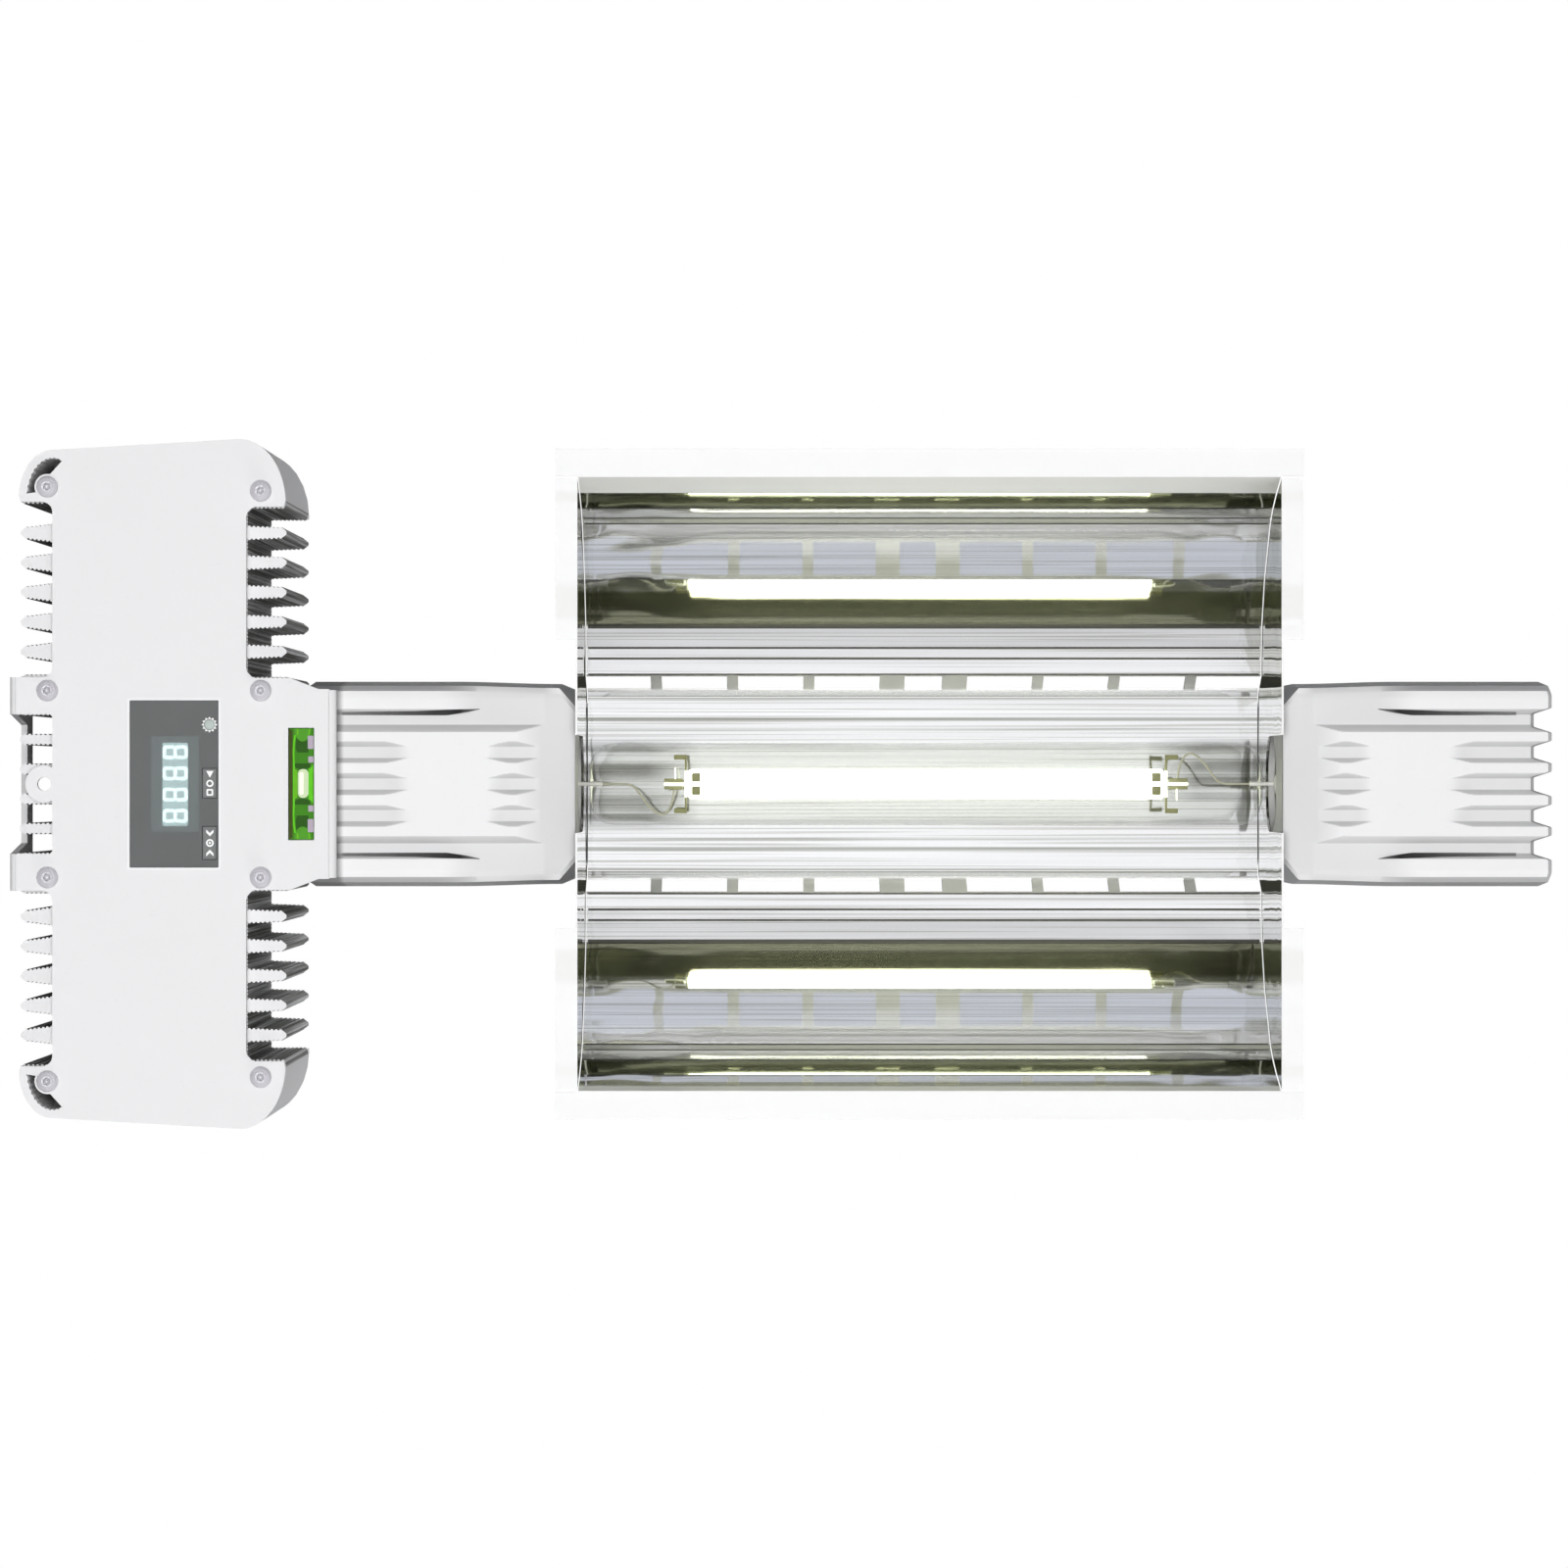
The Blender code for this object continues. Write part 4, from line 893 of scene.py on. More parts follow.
def corner_pocket():
    """The open pocket in a left corner block, ridged on its outer arc."""
    x, y, radius_x, radius_y = LEFT_CORNER
    outer = []
    for i in range(45):
        angle = math.radians(68 + 106 * i / 44)
        inset = POCKET_WALL + (0.00035 if i % 4 in (1, 2) else 0)
        outer.append((x + (radius_x - inset) * math.cos(angle),
                      y + (radius_y - inset) * math.sin(angle)))
    return outer + arc(*SCREW_POINTS[1], 0.0050, 0.0050, 205, 78, 14)


def screw_holes(radius):
    return [loop for point in SCREW_POINTS for loop in both(circle(*point, radius, 20))]


def ballast_body():
    low, high = (corner.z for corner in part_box("ballast_extrusion"))
    right_block = toothed((CORE_X[1] - 0.0001, RIGHT_BLOCK_Y), (RIGHT_FIN_TIP_X, RIGHT_BLOCK_Y))
    outer = mirrored(right_block[::-1] + ballast_half(True)[1:])
    cavity = mirrored([(CAVITY_X[1], CAVITY_HALF_LENGTH), (CAVITY_X[0], CAVITY_HALF_LENGTH)])
    cell = rounded_box((CORE_X[1] + 0.0025, RIGHT_FIN_TIP_X - 0.0025), (-0.028, 0.028), 0.0015)
    loops = [outer, cavity, cell] + both(corner_pocket()) + screw_holes(0.0019)
    put("ballast_body", outline_mesh(loops, low, high), WHITE_EXTRUDED,
        replaces=["ballast_extrusion"])


def rolled_strip(x, y, radius, outward):
    """A bar of plate along Y, with its lower edge rolled round on its outward side along X."""
    shape = shape_of(block_mesh(x, y, (RIM, RIM + PLATE)))
    edge_x = x[1] if outward > 0 else x[0]
    edges = [e for e in shape.edges
             if all(abs(v.co.x - edge_x) < 1e-6 and abs(v.co.z - RIM) < 1e-6 for v in e.verts)]
    bmesh.ops.bevel(shape, geom=edges, offset=radius, segments=8, profile=0.5, affect="EDGES")
    return baked(shape, 30)


def ballast_plates():
    """The lower plate with its window openings, its rolled tongue edge and its folded flap."""
    left, right = CORE_X
    tongue = [(TONGUE_EDGE_X - TONGUE_ROLL, 0.0368), (-0.2369, 0.0368), (-0.2479, RIGHT_BLOCK_Y)]
    tongue += [(right + dx, RIGHT_BLOCK_Y + dy) for dx, dy in
               ((0.0038, 0), (0.0022, 0.0004), (0.0005, 0.0022), (0, 0.0040))]
    ear_x = FLAP_X[1] - 0.0002
    ear = [(left - dx, EAR_Y[1] + dy) for dx, dy in
           ((0, 0.0038), (0.0004, 0.0020), (0.0020, 0.0004), (0.0038, 0))]
    ear += [(ear_x, EAR_Y[1]), (ear_x, EAR_Y[0])]
    ear += toothed((ear_x + 0.0006, EAR_Y[0]), (left - 0.0010, EAR_Y[0]), depth=0.00025, side=-1)
    ear += [(left, EAR_Y[0] - 0.0010), (left, 0.0068), (left - 0.0004, 0.0064)]
    boss = arc(*BOSS[:2], BOSS[2], BOSS[2], 72, 180, 16)
    loops = [mirrored(tongue + ballast_half(False)[1:] + ear + boss),
             node_outline("display_window", 0.0004, 0.0004),
             node_outline("level_vial", 0.0003, 0.0003), circle(*BOSS[:2], BOSS_HOLE)]
    loops += both(corner_pocket()) + screw_holes(0.0021)
    put("ballast_plate", outline_mesh(loops, RIM, RIM + PLATE), WHITE, replaces=["bottom_plate"])

    roll = rolled_strip((TONGUE_EDGE_X - TONGUE_ROLL - 0.0001, TONGUE_EDGE_X),
                        (-TONGUE_HALF_LENGTH, TONGUE_HALF_LENGTH), TONGUE_ROLL, 1)
    put("tongue_roll", roll, WHITE)

    wide, narrow = FLAP_NOTCH_HALF_WIDTHS
    bars = [rolled_strip(FLAP_X, sorted((sign * EAR_Y[0], sign * EAR_Y[1])), FLAP_BEND, -1)
            for sign in (1, -1)]
    half = [(EAR_Y[1], RIM + FLAP_RISE), (EAR_Y[1], RIM + PLATE), (wide, RIM + PLATE),
            (narrow, RIM + FLAP_NOTCH_RISE)]
    wall = outline_mesh([half + [(-y, z) for y, z in reversed(half)]], *FLAP_X)
    wall.transform(ALONG_X)
    put("ballast_flap", merged(bars + [smooth(wall, 30)], 30), WHITE)


def seat_rings():
    """The faint raised ring pressed round each screw of the lower plate."""
    rings = []
    for x, y in SCREW_POINTS:
        for place in ((x, y, RIM), (x, -y, RIM)):
            ring = turned_mesh([(0.00455, 0.0001), (0.00455, -0.00012), (0.00475, -0.00012),
                                (0.00475, 0.0001)], 40)
            ring.transform(Matrix.Translation(place))
            rings.append(ring)
    put("screw_seats", merged(rings, 35), WHITE)


def screw_head(node):
    """A pan head with a six-lobed recess and a raised pin, in place of a plain CAD screw."""
    low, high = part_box(node)
    below = low.z < RIM - 0.001
    centre = Vector(((low.x + high.x) / 2, (low.y + high.y) / 2, RIM if below else TOP))
    radius, height, shoulder, steps = SCREW_RADIUS, SCREW_HEIGHT, 0.0008, 48
    # Radius, height and depth of the lobes, from the shank's end over the head to the pin
    run = [(0.0017, -0.011, 0), (0.0017, 0.0003, 0), (radius, 0.0003, 0), (radius, shoulder, 0)]
    for i in range(1, 9):
        angle = math.radians(10 * i)
        run.append((radius * (0.50 + 0.50 * math.cos(angle)),
                    shoulder + (height - shoulder) * math.sin(angle), 0))
    run += [(0.00205, height + 0.0003, 0), (0.00150, height + 0.0002, 0.14),
            (0.00140, height - 0.0016, 0.16), (0.00050, height - 0.0016, 0),
            (0.00042, height - 0.0003, 0)]
    shape = bmesh.new()
    rings = [ring_of(shape, r, z, steps, lobes) for r, z, lobes in run]
    for first, second in zip(rings, rings[1:]):
        bridge(shape, first, second)
    shape.faces.new(rings[0][::-1])
    shape.faces.new(rings[-1])
    bmesh.ops.recalc_face_normals(shape, faces=shape.faces)
    spin = Matrix.Rotation(math.pi if below else 0, 4, "X") @ Matrix.Rotation(centre.x * 90, 4, "Z")
    put(node + "_torx", baked(shape, 38), SCREW_STEEL, replaces=[node],
        matrix=Matrix.Translation(centre) @ spin)


def screws():
    for node in sorted(NODES):
        if node.startswith(("bottom_screw_", "top_screw_")):
            screw_head(node)


# ------------------------------------------------------------------ arms

FLUTE_PITCH, FLUTE_FLOOR, FLUTE_DEPTH = 0.01235, 0.0022, 0.0021
SIDE_DEPTH = 0.0026
ARM_OUTER, ARM_NOSE = 0.2420, 0.1376
ARM_VALLEY_END = 0.2353
ARM_TEETH = ((0.0044, 0.0084), (0.0164, 0.0204), (0.0291, 0.0420))
ARM_TAPER_X, ARM_TEETH_X = 0.1600, 0.2250
# Rise above the rim, and the arm's half width there
ARM_SECTION = ((0.005, 0.0361), (0.009, 0.0382), (0.040, 0.0403), (0.075, 0.0403), (0.108, 0.0380),
               (0.1177, 0.0340))
ARM_SPLIT = (0.0317, 0.0320)            # rises of the cover's upper and the shell's lower edge
ARM_TOP = 0.1177
ARM_WALL = 0.0025
CORE_HALF = 0.0281


def eased(value, low, high):
    """0 below low, 1 above high, and a smooth rise between them."""
    t = min(1.0, max(0.0, (value - low) / (high - low)))
    return t * t * (3 - 2 * t)


def arm_depth(x, y):
    """How far the arm's lower face lies above its ridges, at |x| from the lamp's middle and |y|."""
    y = abs(y)
    taper = 0.26 * max(0.0, ARM_TAPER_X - x)
    floor = FLUTE_DEPTH * max(eased(x, 0.2009, 0.2125), 1 - eased(x, 0.1625, 0.1735))
    depth = taper
    for centre in (0.0, FLUTE_PITCH):
        wall = FLUTE_FLOOR + floor * 0.95 - abs(y - centre)
        depth = max(depth, min(floor, max(0.0, wall / 0.95)))
    inner_wall = (y - 0.0203) / 0.0027 * SIDE_DEPTH
    depth = max(depth, min(SIDE_DEPTH, max(0.0, inner_wall)))
    if y > 0.0269:
        band = max(SIDE_DEPTH * (1 - eased(x, 0.1720, 0.1930)), taper)
        wall = SIDE_DEPTH - (y - 0.0269) / 0.0022 * (SIDE_DEPTH - band)
        depth = max(band, wall) if y < 0.0291 else band + 0.0004 * eased(y, 0.0330, 0.0365)
    return depth


def arm_end_x(y):
    """The arm's outer end: a row of teeth that carry the flutes' ridges up the end face."""
    y = abs(y)
    reach = 0.0
    for low, high in ARM_TEETH:
        middle, half = (low + high) / 2, (high - low) / 2
        reach = max(reach, min(1.0, max(0.0, 1 - (abs(y - middle) - half + 0.0004) / 0.0022)))
    return ARM_VALLEY_END + (ARM_OUTER - ARM_VALLEY_END) * reach - 0.0012 * eased(y, 0.0340, 0.0385)


def side_width(rise, x):
    """The arm's half width at a rise above the rim, at |x| from the lamp's middle."""
    width = ARM_SECTION[-1][1]
    for (z0, y0), (z1, y1) in zip(ARM_SECTION, ARM_SECTION[1:]):
        if z0 <= rise <= z1:
            width = y0 + (y1 - y0) * (rise - z0) / (z1 - z0)
            break
    width -= 0.0009 * (1 - eased(x, 0.1440, 0.1850))
    cut_corner = max(0.0, 0.1438 - x) / 0.0062
    return width - (0.0076 - 0.0050 * eased(rise, 0.005, 0.030)) * cut_corner


def arm_mesh(sign, low, high, fluted):
    """A closed half of an arm between two rises, with the flutes on its lower face if fluted."""
    xs = [ARM_NOSE + (ARM_OUTER - ARM_NOSE) * i / 132 for i in range(133)]
    core, outer = 79, 16                # columns of points across the flutes, and beyond them
    shape = bmesh.new()

    def point(column, row, rise, flat):
        """The vertex of a column along X and a signed row across Y."""
        x = xs[column]
        width = side_width(rise, x)
        step = abs(row)
        if step < core:
            y = CORE_HALF * step / (core - 1) * min(1.0, (width - 0.0004) / CORE_HALF)
        else:
            start = min(CORE_HALF, width - 0.0004)
            y = start + (width - start) * (step - core + 1) / outer
        end = arm_end_x(y)
        share = max(0.0, (x - ARM_TEETH_X) / (ARM_OUTER - ARM_TEETH_X))
        placed = ARM_TEETH_X + share * (end - ARM_TEETH_X) if share else x
        z = RIM + rise
        if flat:
            z += arm_depth(placed, y)
            z += 0.0016 * eased(placed, end - 0.0016, end) * eased(eased(share, 0, 1), 0.5, 1.0)
        return shape.verts.new((sign * placed, math.copysign(y, row) if row else 0.0, z))

    rows = list(range(1 - core - outer, core + outer))
    columns = range(len(xs))
    grid = [[point(c, r, low, fluted) for r in rows] for c in columns]
    border = [(c, 0) for c in columns] + [(len(xs) - 1, i) for i in range(1, len(rows))]
    border += [(c, len(rows) - 1) for c in reversed(columns[:-1])]
    border += [(0, i) for i in range(len(rows) - 2, 0, -1)]
    for c in columns[:-1]:
        for i in range(len(rows) - 1):
            shape.faces.new((grid[c][i], grid[c + 1][i], grid[c + 1][i + 1], grid[c][i + 1]))
    loop = [grid[c][i] for c, i in border]
    for rise in ((0.009, 0.0205, high) if fluted else (0.040, 0.075, 0.108, high)):
        upper = [point(c, rows[i], rise, False) for c, i in border]
        bridge(shape, loop, upper)
        loop = upper
    shape.faces.new(loop)
    bmesh.ops.recalc_face_normals(shape, faces=shape.faces)
    if not fluted:
        edges = {e for f in shape.faces if abs(f.normal.z) > 0.9999 for e in f.edges}
        bmesh.ops.dissolve_limit(shape, angle_limit=math.radians(0.4), verts=shape.verts,
                                 edges=list(edges))
    return baked(shape)


def lamp_arms():
    for side, sign in (("left", -1), ("right", 1)):
        cover = arm_mesh(sign, 0.005, ARM_SPLIT[0], True)
        put(f"{side}_arm_fluted_cover", smooth(cover, 24), WHITE_ARM,
            replaces=[f"{side}_arm_cover"])
        shell = arm_mesh(sign, ARM_SPLIT[1], ARM_TOP, False)
        inside = sorted((sign * (ARM_NOSE + ARM_WALL), sign * (ARM_VALLEY_END - ARM_WALL)))
        hollow = block_mesh(inside, (-0.0315, 0.0315), (RIM + 0.031, RIM + ARM_TOP - ARM_WALL))
        shell = cut(shell, hollow)
        hole = turned_mesh([(0, -0.008), (0.019, -0.008), (0.019, 0.008), (0, 0.008)], 48)
        hole.transform(Matrix.Translation((sign * ARM_NOSE, 0, RIM + LAMP_RISE)) @ QUARTER_TURN)
        put(f"{side}_arm_ribbed_shell", smooth(cut(shell, hole), 24), WHITE_ARM,
            replaces=[f"{side}_arm_shell"])


# The dark slit of painted shade beside each outer flute: |x|, and its edges' |y| there
SLIT = ((0.1747, 0.02895, 0.02925), (0.1790, 0.0280, 0.0291), (0.1874, 0.0267, 0.0288),
        (0.2000, 0.0267, 0.0283), (0.2282, 0.0268, 0.0280))


def arm_slit_shade():
    """The narrow slit beside each outer flute, as a film of painted shade on its wall."""
    steps, rows = 48, 4
    xs, lows, highs = zip(*SLIT)
    films = []
    for side in (-1, 1):
        for sign in (-1, 1):
            shape = bmesh.new()
            last = None
            for i in range(steps + 1):
                x = xs[0] + (xs[-1] - xs[0]) * i / steps
                low, high = (float(np.interp(x, xs, edge)) for edge in (lows, highs))
                line = []
                for j in range(rows + 1):
                    y = low + (high - low) * j / rows
                    z = ARM_FACE + arm_depth(x, y) - 0.00015
                    line.append(shape.verts.new((side * x, sign * y, z)))
                if last:
                    for j in range(rows):
                        shape.faces.new((last[j], line[j], line[j + 1], last[j + 1]))
                last = line
            bmesh.ops.solidify(shape, geom=shape.faces[:], thickness=0.00006)
            films.append(baked(shape))
    put("arm_slit_shade", merged(films, 40), slit_shade("slit_shade"))


# ------------------------------------------------------------------ reflector

# Each fold's distance across from the lamp's axis and rise above the rim, and the width of its line
# of painted shade
SHEET_FOLDS = ((0.0375, 0.1166, None), (0.0442, 0.1000, 0.0009), (0.0507, 0.0994, 0.0008),
               (0.0550, 0.0988, 0.0008), (0.0637, 0.0970, 0.0019), (0.0820, 0.0830, None),
               (0.1032, 0.0540, 0.0008), (0.1052, 0.0500, 0.0007), (0.1088, 0.0410, 0.0008),
               (0.1138, 0.0240, None))
FOLD_HALF_LENGTH = 0.1355
FOLD_LIFTS = (0.00012, 0.00005)         # how far the film's two faces stand off the sheet


def fold_shade_lines():
    """A dark film of painted shade along each fold of the mirror sheet, on its lit face."""
    films = []
    for before, fold, after in zip(SHEET_FOLDS, SHEET_FOLDS[1:], SHEET_FOLDS[2:]):
        middle, width = fold[:2], fold[2]
        if not width:
            continue
        rows = []
        for lift in FOLD_LIFTS:
            row = []
            for end in (before[:2], middle, after[:2]):
                run = math.dist(end, middle)
                share = min(1.0, width / 2 / run) if run else 0.0
                y, z = (m + (e - m) * share for m, e in zip(middle, end))
                row.append((y - lift * 0.6, z - lift * 0.8))
            rows.append(row)
        for sign in (1, -1):
            loop = [(sign * y, RIM + z) for y, z in rows[0] + rows[1][::-1]]
            film = outline_mesh([loop], -FOLD_HALF_LENGTH, FOLD_HALF_LENGTH)
            film.transform(ALONG_X)
            films.append(film)
    put("fold_shade_lines", merged(films), FOLD_SHADE)


# ------------------------------------------------------------------ control window and level

DIGIT_STRIP_X, DIGIT_STRIP_Y = (-0.2976, -0.2877), (-0.0160, 0.0163)
DIGIT_PITCH, DIGIT_LENGTH, DIGIT_WIDTH, DIGIT_STROKE = 0.00823, 0.0098, 0.0054, 0.0013
KEY_MARK_X = -0.27895
LAYER = 0.00002                         # thickness of the level's inner shapes


def eight(x, y):
    """The figure eight of one digit, lying along X, as an outline and two openings."""
    length, width, stroke = DIGIT_LENGTH, DIGIT_WIDTH, DIGIT_STROKE
    waist = stroke * 0.42
    box = rounded_box((x - length / 2, x + length / 2), (y - width / 2, y + width / 2),
                      stroke * 1.1)
    loop = [(px, py - math.copysign(waist * max(0.0, 1 - abs(px - x) / (stroke * 0.55)), py - y))
            for px, py in box]
    outer = []
    for (px, py), (nx, _) in zip(loop, loop[1:] + loop[:1]):
        outer.append((px, py))
        if (px - x) * (nx - x) < 0:
            side = 1 if py > y else -1
            steps = (0.5, 0.0, -0.5) if px > x else (-0.5, 0.0, 0.5)
            edge = y + side * width / 2
            outer += [(x + stroke * k, edge - side * waist * (1 - abs(k) * 1.8)) for k in steps]
    near, far, reach = stroke * 0.5, length / 2 - stroke, width / 2 - stroke
    return [outer] + [rounded_box(span, (y - reach, y + reach), stroke * 0.3, 3)
                      for span in ((x - far, x - near), (x + near, x + far))]


def star(x, y, inner, outer, points):
    loop = []
    for i in range(points * 2):
        radius = outer if i % 2 == 0 else inner
        angle = math.pi * i / points
        loop.append((x + radius * math.cos(angle), y + radius * math.sin(angle)))
    return loop


def middle_of(node):
    low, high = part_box(node)
    return (low.x + high.x) / 2, (low.y + high.y) / 2


def window_glass():
    """The smoked pane, open for the keys and the lens, its white rim and the mask behind it."""
    low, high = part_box("display_window")
    margin = 0.0002
    pane = node_block("display_window", 0.00018)
    for node in ("mode_key", "select_key"):
        a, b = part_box(node)
        pane = cut(pane, block_mesh((a.x - margin, b.x + margin), (a.y - margin, b.y + margin),
                                    (low.z - 0.001, high.z + 0.001)))
    a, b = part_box("indicator_lens")
    radius = (b.x - a.x) / 2 + margin
    hole = turned_mesh([(0, -0.004), (radius, -0.004), (radius, 0.004), (0, 0.004)], 32)
    hole.transform(Matrix.Translation((*middle_of("indicator_lens"), low.z)))
    put("window_pane", cut(pane, hole), smoked_pane("smoked_window"), replaces=["display_window"])
    rim = [node_outline("display_window", 0.0008, 0.0006),
           node_outline("display_window", 0.00005, 0.0004)]
    put("window_rim", outline_mesh(rim, RIM - 0.00006, RIM + 0.0006), RIM_WHITE)
    mask = [node_outline("display_window", -0.0002, 0.0004),
            node_outline("digit_display", 0.0001, 0.0003)]
    mask_z = max(high.z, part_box("mode_key")[1].z) + 0.0008
    put("window_mask", outline_mesh(mask, mask_z, mask_z + 0.0003), MASK_GREY)


def digit_module():
    """The lit digits on their paler bed, on the face of the display module."""
    put("display_module", node_block("digit_display", 0.0004),
        lit("module_face", (0.10, 0.12, 0.12), (0.75, 1.0, 1.0), 0.7), replaces=["digit_display"])
    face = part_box("digit_display")[0].z - 0.00002
    bed = lit("digit_bed", (0.30, 0.36, 0.36), (0.84, 1.0, 1.0), 7.2, 0.25, 160)
    strip = rounded_box(DIGIT_STRIP_X, DIGIT_STRIP_Y, 0.0005, 3)
    put("digit_bed", outline_mesh([strip], face - 0.00008, face), bed)
    y = middle_of("digit_display")[1] - 0.01235
    digits = [outline_mesh(eight(sum(DIGIT_STRIP_X) / 2, y + DIGIT_PITCH * i), face - 0.00020,
                           face - 0.00009) for i in range(4)]
    glow = lit("digit_glow", (0.9, 0.9, 0.9), (0.94, 1.0, 1.0), 14.0, 0.04, 300)
    put("digits", merged(digits), glow)


def key_marks(node, x, y):
    """The icons of a key: a triangle, ring and square, or two chevrons round a ringed dot."""
    if node == "mode_key":
        return ([[(x - 0.0014, y - 0.0048), (x + 0.0014, y - 0.0048), (x, y - 0.0022)]],
                [circle(x, y, 0.0014, 28), circle(x, y, 0.0008, 24)],
                [rounded_box((x - 0.0013, x + 0.0013), (y + 0.0022, y + 0.0048), 0.0004, 3),
                 rounded_box((x - 0.0007, x + 0.0007), (y + 0.0028, y + 0.0042), 0.0002, 3)])
    chevron = [(x + dx, y - dy) for dx, dy in
               ((-0.0014, 0.0052), (0, 0.0038), (0.0014, 0.0052), (0.0014, 0.0040), (0, 0.0026),
                (-0.0014, 0.0040))]
    return ([chevron], [[(px, 2 * y - py) for px, py in reversed(chevron)]],
            [circle(x, y, 0.0015, 28), circle(x, y, 0.0009, 24)], [circle(x, y, 0.00045, 16)])


def control_window():
    window_glass()
    digit_module()
    # the pane's smoke made 1.48 times lighter for the keys: painted light that evens them with the
    # pane, which they otherwise render darker than
    lightened_key_smoke = smoked_pane("smoked_key", 1.48)
    for node in ("mode_key", "select_key"):
        put(node + "_cap", node_block(node, 0.0002), lightened_key_smoke, body=node, replaces=[node])
        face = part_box(node)[0].z
        marks = [outline_mesh(loops, face - 0.00005, face)
                 for loops in key_marks(node, KEY_MARK_X, middle_of(node)[1])]
        put(node + "_marks", merged(marks), PRINT_WHITE, body=node)

    a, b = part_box("indicator_lens")
    x, y = middle_of("indicator_lens")
    radius = (b.x - a.x) / 2
    lens = turned_mesh([(0, b.z), (radius, b.z), (radius, a.z + 0.0003),
                        (radius * 0.85, a.z + 0.0001), (radius * 0.5, a.z), (0, a.z - 0.00005)], 40)
    lens.transform(Matrix.Translation((x, y, 0)))
    put("indicator_dome", lens, lit("indicator_clear", (0.45, 0.50, 0.48), (0.8, 1.0, 0.9), 0.10),
        replaces=["indicator_lens"])
    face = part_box("display_window")[0].z
    rays = [star(x, y, radius + 0.0003, radius + 0.0011, 12), circle(x, y, radius + 0.0002, 24)]
    put("indicator_marks", outline_mesh(rays, face - 0.00005, face), PRINT_WHITE)


def spirit_level():
    """The green level block, with its inner shapes as thin layers on its face."""
    low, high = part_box("level_vial")
    x0, x1, face = low.x, high.x, low.z
    width = x1 - x0
    block = block_mesh((x0, x1), (low.y, high.y), (face, ARM_FACE - 0.0003), 0.00015)
    put("level_block", block, fluorescent("level_green_mid", (0.048, 0.215, 0.012)),
        replaces=["level_vial"])

    def at(*points):
        """Points given by their share of the level's width and their distance along it."""
        return [(x0 + width * share, y) for share, y in points]

    def pill(shares, y, radius, steps=3):
        return rounded_box([x0 + width * share for share in shares], y, radius, steps)

    dark = fluorescent("level_green_dark", (0.024, 0.098, 0.008), 0.2, 0.15)
    mid = fluorescent("level_green_light", (0.075, 0.300, 0.020), 0.2)
    lime = fluorescent("level_lime", (0.115, 0.40, 0.012), 0.15, 0.35)
    bright = fluorescent("level_bright", (0.10, 0.50, 0.012), 0.15, 0.30)
    olive = fluorescent("level_edge", (0.060, 0.085, 0.014), 0.3, 0.1, 0.6)
    glass = fluorescent("level_bubble", (0.60, 0.72, 0.45), 0.1, 0.12, 0.92)
    glint = fluorescent("level_bubble_glint", (0.93, 0.97, 0.78), 0.1, 0.12, 0.97)
    tab = moulded("level_tab", (0.50, 0.42, 0.52), 0.35, 500, 0.1, 0.85)
    barrel = at((0.30, 0.0178), (0.74, 0.0178), (0.80, 0.0140), (0.80, 0.0122), (0.33, 0.0122),
                (0.27, 0.0142))
    cap = arc(x0 + width * 0.56, 0.0215, width * 0.34, 0.0050, 180, 360, 16)
    ring = arc(x0 + width * 0.55, 0.0072, width * 0.32, 0.0016, 180, 360, 12)
    line = ((0.165, 0), (0.165, 0.0080), (0.150, 0.0120), (0.170, 0.0160), (0.215, 0.0190))
    # Name, look, rise off the face, and loops for the upper end. The lower end is its image, but
    # the bubble lies over both.
    layers = (
        ("level_band", dark, 0.00003, [barrel]),
        ("level_band_cap", mid, 0.00006, [cap]),
        ("level_ring", dark, 0.00004, [ring + at((0.87, 0.0080), (0.23, 0.0080))]),
        ("level_edge", olive, 0.00004, [at((0, 0), (0.15, 0), (0.15, 0.0208), (0, 0.0214))]),
        ("level_line", bright, 0.00007,
         [at(*line, *((share + 0.075, y) for share, y in reversed(line)))]),
        ("level_glow", lime, 0.00009, [at((0.20, 0), (0.345, 0), (0.345, 0.0052), (0.20, 0.0060))]),
        ("level_glow_right", bright, 0.00009,
         [at((0.80, 0), (0.985, 0), (0.985, 0.0078), (0.90, 0.0064), (0.80, 0.0058))]),
        ("level_tabs", tab, 0.00012, [pill((0.77, 1), (0.0136, 0.0187), 0.0003),
                                      pill((0.79, 1), (0.0083, 0.0107), 0.0003)]),
        ("level_ends", lime, 0.00010,
         [at((0.32, 0.0190), (0.38, 0.0190), (0.40, 0.0213), (0.32, 0.0213)),
          at((0.79, 0.0190), (0.85, 0.0190), (0.87, 0.0213), (0.81, 0.0213))]),
        ("level_bubble", glass, 0.00013, [pill((0.365, 0.80), (-0.0058, 0.0054), 0.0019, 8)]),
        ("level_bubble_glint", glint, 0.00016, [pill((0.43, 0.60), (-0.0046, 0.0042), 0.0007, 6)]),
    )
    for name, look, rise, loops in layers:
        ends = (1,) if "bubble" in name else (1, -1)
        images = [[(x, y * end) for x, y in loop] for end in ends for loop in loops]
        meshes = [outline_mesh([image], face - rise, face - rise + LAYER) for image in images]
        put(name, merged(meshes), look)


# ------------------------------------------------------------------ lamp

LAMP_AXIS = Matrix.Translation((0, 0, RIM + LAMP_RISE)) @ QUARTER_TURN
ARC_END_X = 0.0945
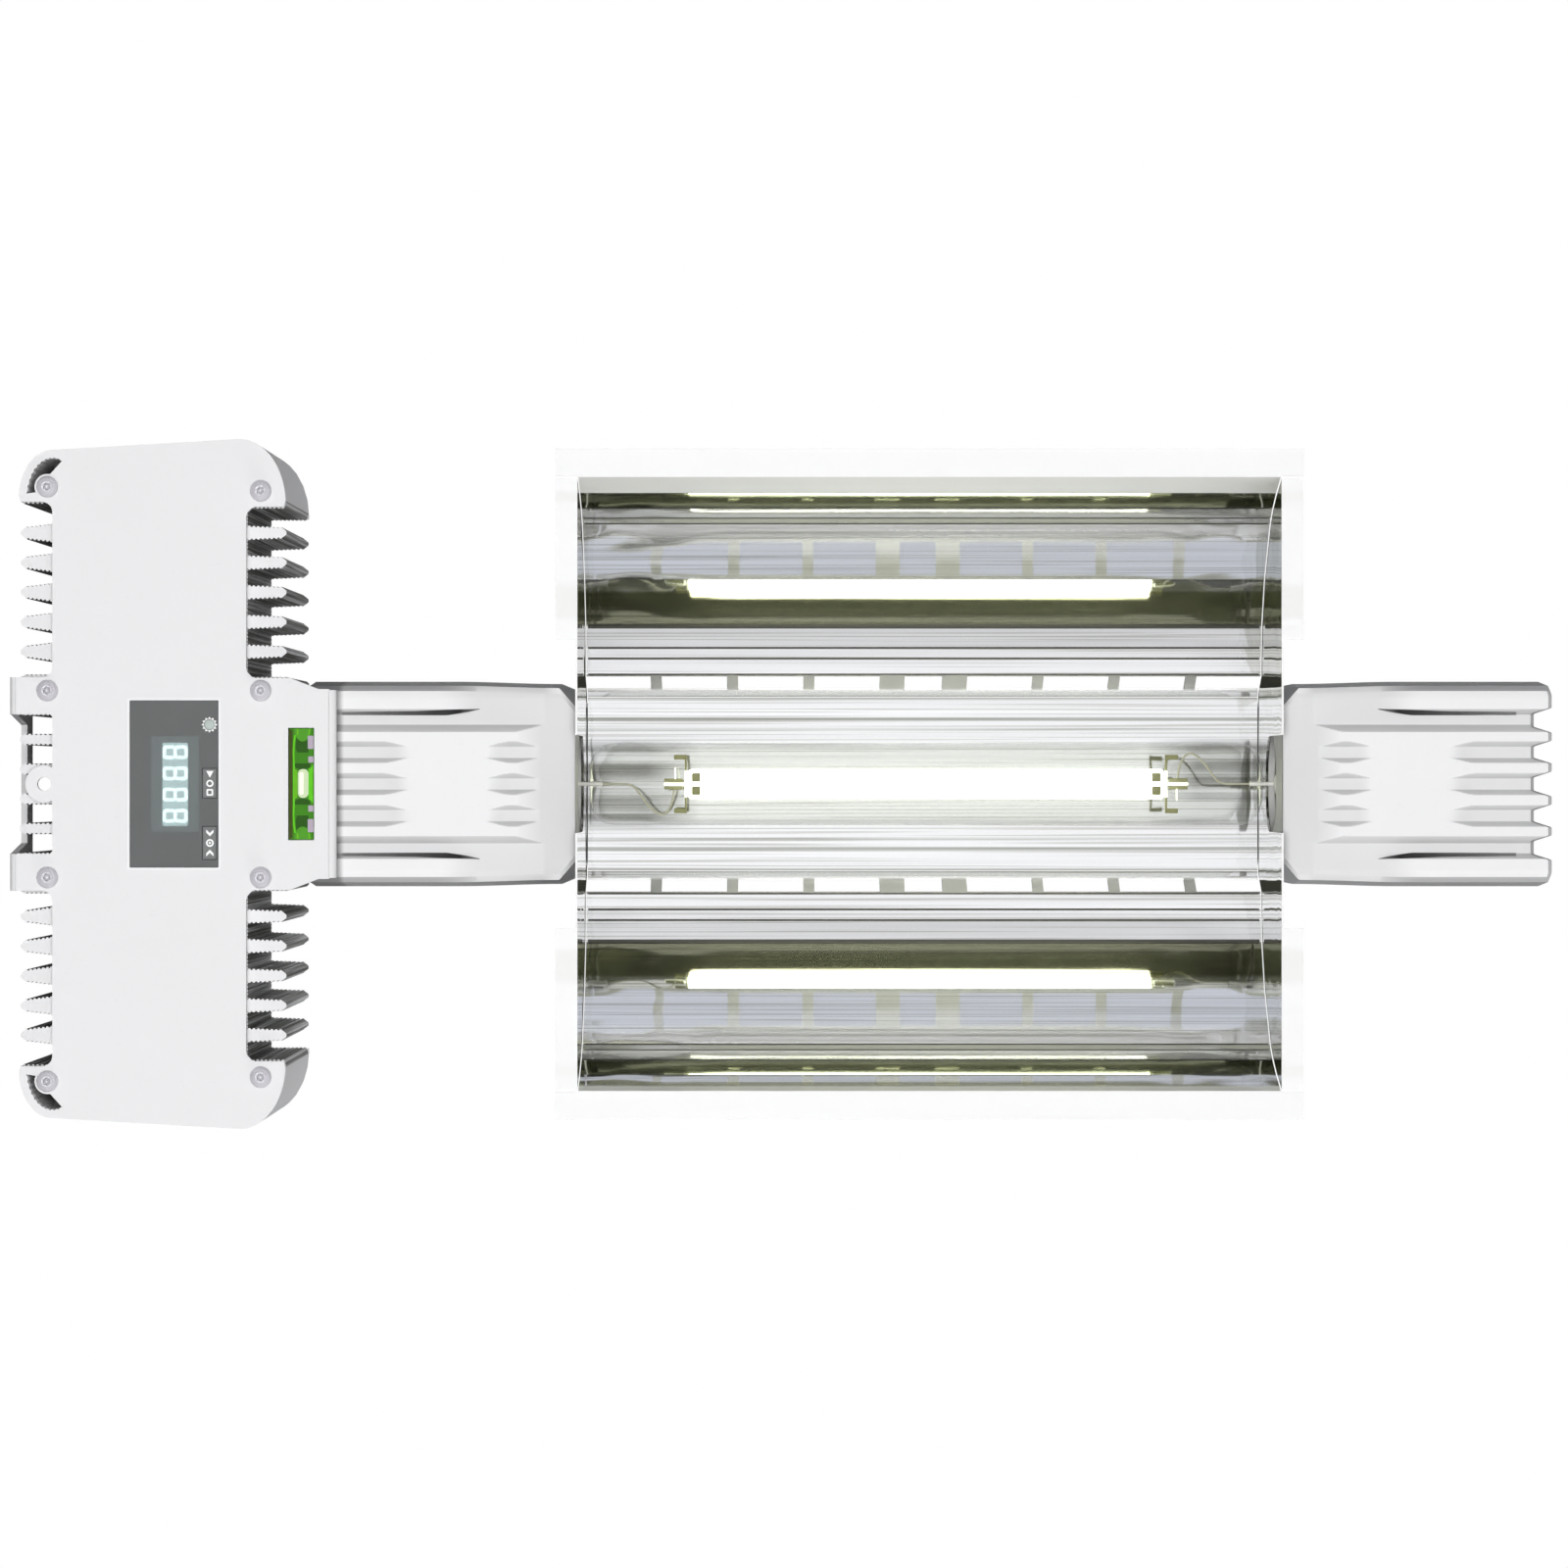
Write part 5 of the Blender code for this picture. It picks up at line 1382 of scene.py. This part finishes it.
# How far in from the jacket's end its round shoulder reaches each radius
JACKET_SHOULDER = ((0.0062, 0), (0.0082, 0.0002), (0.0110, 0.0011), (0.0135, 0.0026),
                   (0.0153, 0.0050), (0.0161, 0.0076))
SEAL_PROFILE = ((0, 0.1970), (0.0021, 0.1970), (0.0025, 0.1966), (0.0025, 0.1520), (0.0032, 0.1512),
                (0.0052, 0.1502), (0.0060, 0.1490), (0.0060, 0.1412), (0.0052, 0.1396),
                (0.0030, 0.1386), (0.0009, 0.1380), (0.0009, 0.1285), (0, 0.1285))
LEAD_ROUTE = ((0.1290, 0.0), (0.1176, 0.0), (0.1150, -0.0020), (0.1105, -0.0086), (0.1062, -0.0124),
              (0.1030, -0.0118), (0.1008, -0.0074), (0.0999, -0.0020))


def lamp_body():
    """The clear jacket and the glowing arc tube; the tube's radius is returned."""
    def put_turned(name, half, node, slot, steps, skin, angle):
        mesh = turned_mesh(half + [(r, -z) for r, z in reversed(half) if z], steps, skin)
        mesh.transform(LAMP_AXIS)
        put(name, smooth(mesh, angle), LOOKS[slot], replaces=[node])

    low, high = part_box("lamp_envelope")
    length, radius = high.x, (high.y - low.y) / 2
    half = [(r, length - back) for r, back in JACKET_SHOULDER]
    half += [(radius, length - 0.0105), (radius, 0)]
    put_turned("lamp_jacket", half, "lamp_envelope", "quartz", 96, True, 60)
    low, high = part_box("arc_tube")
    radius = (high.y - low.y) / 2
    half = [(0, ARC_END_X), (radius * 0.80, ARC_END_X), (radius * 0.97, ARC_END_X - 0.0006),
            (radius, ARC_END_X - 0.0016)]
    put_turned("arc_body", half, "arc_tube", "arc_white", 48, False, 32)
    return radius


def lamp():
    radius = lamp_body()
    axis_z = RIM + LAMP_RISE
    # painted glow: the frame, the bars by the seal and the lead give off light, standing in for the
    # arc's light on them
    olive = lit("niobium_painted_glow", (0.20, 0.20, 0.09), (0.62, 0.64, 0.26), 0.10, 0.15, 300)
    bar_glow = lit("molybdenum_painted_glow", (0.9, 0.9, 0.8), (0.95, 1.0, 0.80), 0.95, 0.05, 200)
    cream = lit("lead_painted_glow", (0.42, 0.41, 0.30), (1.0, 1.0, 0.84), 0.06, 0.12, 300)
    for side, sign in (("left", -1), ("right", 1)):
        def bar(x, y, z, bevel=0.0002, way=1):
            """A small block here, from its runs out along X, across Y and up from the axis."""
            return block_mesh(sorted(sign * v for v in x), sorted(way * v for v in y),
                              [axis_z + v for v in z], bevel)

        plates = [bar((0.0950, 0.0958), (-0.0116, 0.0116), (-0.0015, 0.0015))]
        for way in (-1, 1):
            plates += [bar((0.0952, 0.1001), (0.0097, 0.0116), (-0.0012, 0.0012), way=way),
                       bar((0.0966, 0.1040), (0.0009, 0.0022), (-0.0008, 0.0008), way=way),
                       bar((0.0895, 0.0930), (0.0008, 0.0044), (-radius - 0.0006, -radius + 0.0012),
                           0.0004, way)]
        put(f"{side}_lamp_frame", merged(plates, 35), olive, replaces=[f"lamp_{side}_frame"])
        bars = [bar((0.0949, 0.0959), (-0.0054, 0.0054), (-0.0024, 0.0012), 0.0003),
                bar((0.0940, 0.1042), (-0.0006, 0.0006), (-0.0012, 0.0006), 0.0003),
                bar((0.0993, 0.0999), (0.0019, 0.0066), (-0.0012, -0.0004), way=sign)]
        put(f"{side}_bars_painted_glow", merged(bars, 35), bar_glow)
        route = filleted([(sign * x, sign * y, axis_z) for x, y in LEAD_ROUTE], 0.003)
        put(f"{side}_lamp_lead", rod_mesh(route, 0.00042), cream, replaces=[f"lamp_{side}_lead"])
        seal = turned_mesh([(r, sign * x) for r, x in SEAL_PROFILE], 48)
        seal.transform(LAMP_AXIS)
        put(f"{side}_lamp_seal", seal, LOOKS["ceramic_white"], replaces=[f"lamp_{side}_seal"])


# ------------------------------------------------------------------ the scene

def floor():
    shape = bmesh.new()
    bmesh.ops.create_circle(shape, cap_ends=True, segments=96, radius=2.1)
    ground = bpy.data.objects.new("floor", baked(shape))
    ground.location = (0, 0, RIM - 3.1)
    bpy.context.scene.collection.objects.link(ground)
    look = Look("floor_pale", (0.80, 0.80, 0.81), 0.8)
    look.colour(look.mix(look.noise(2.0, detail=4), (0.79, 0.79, 0.80), (0.82, 0.82, 0.83)))
    ground.data.materials.append(look.material)


add_camera()
add_world()
add_lights()
dress_cad_nodes()
ballast_body()
ballast_plates()
seat_rings()
screws()
lamp_arms()
arm_slit_shade()
fold_shade_lines()
control_window()
spirit_level()
lamp()
floor()
bpy.context.scene.view_settings.view_transform = "Standard"
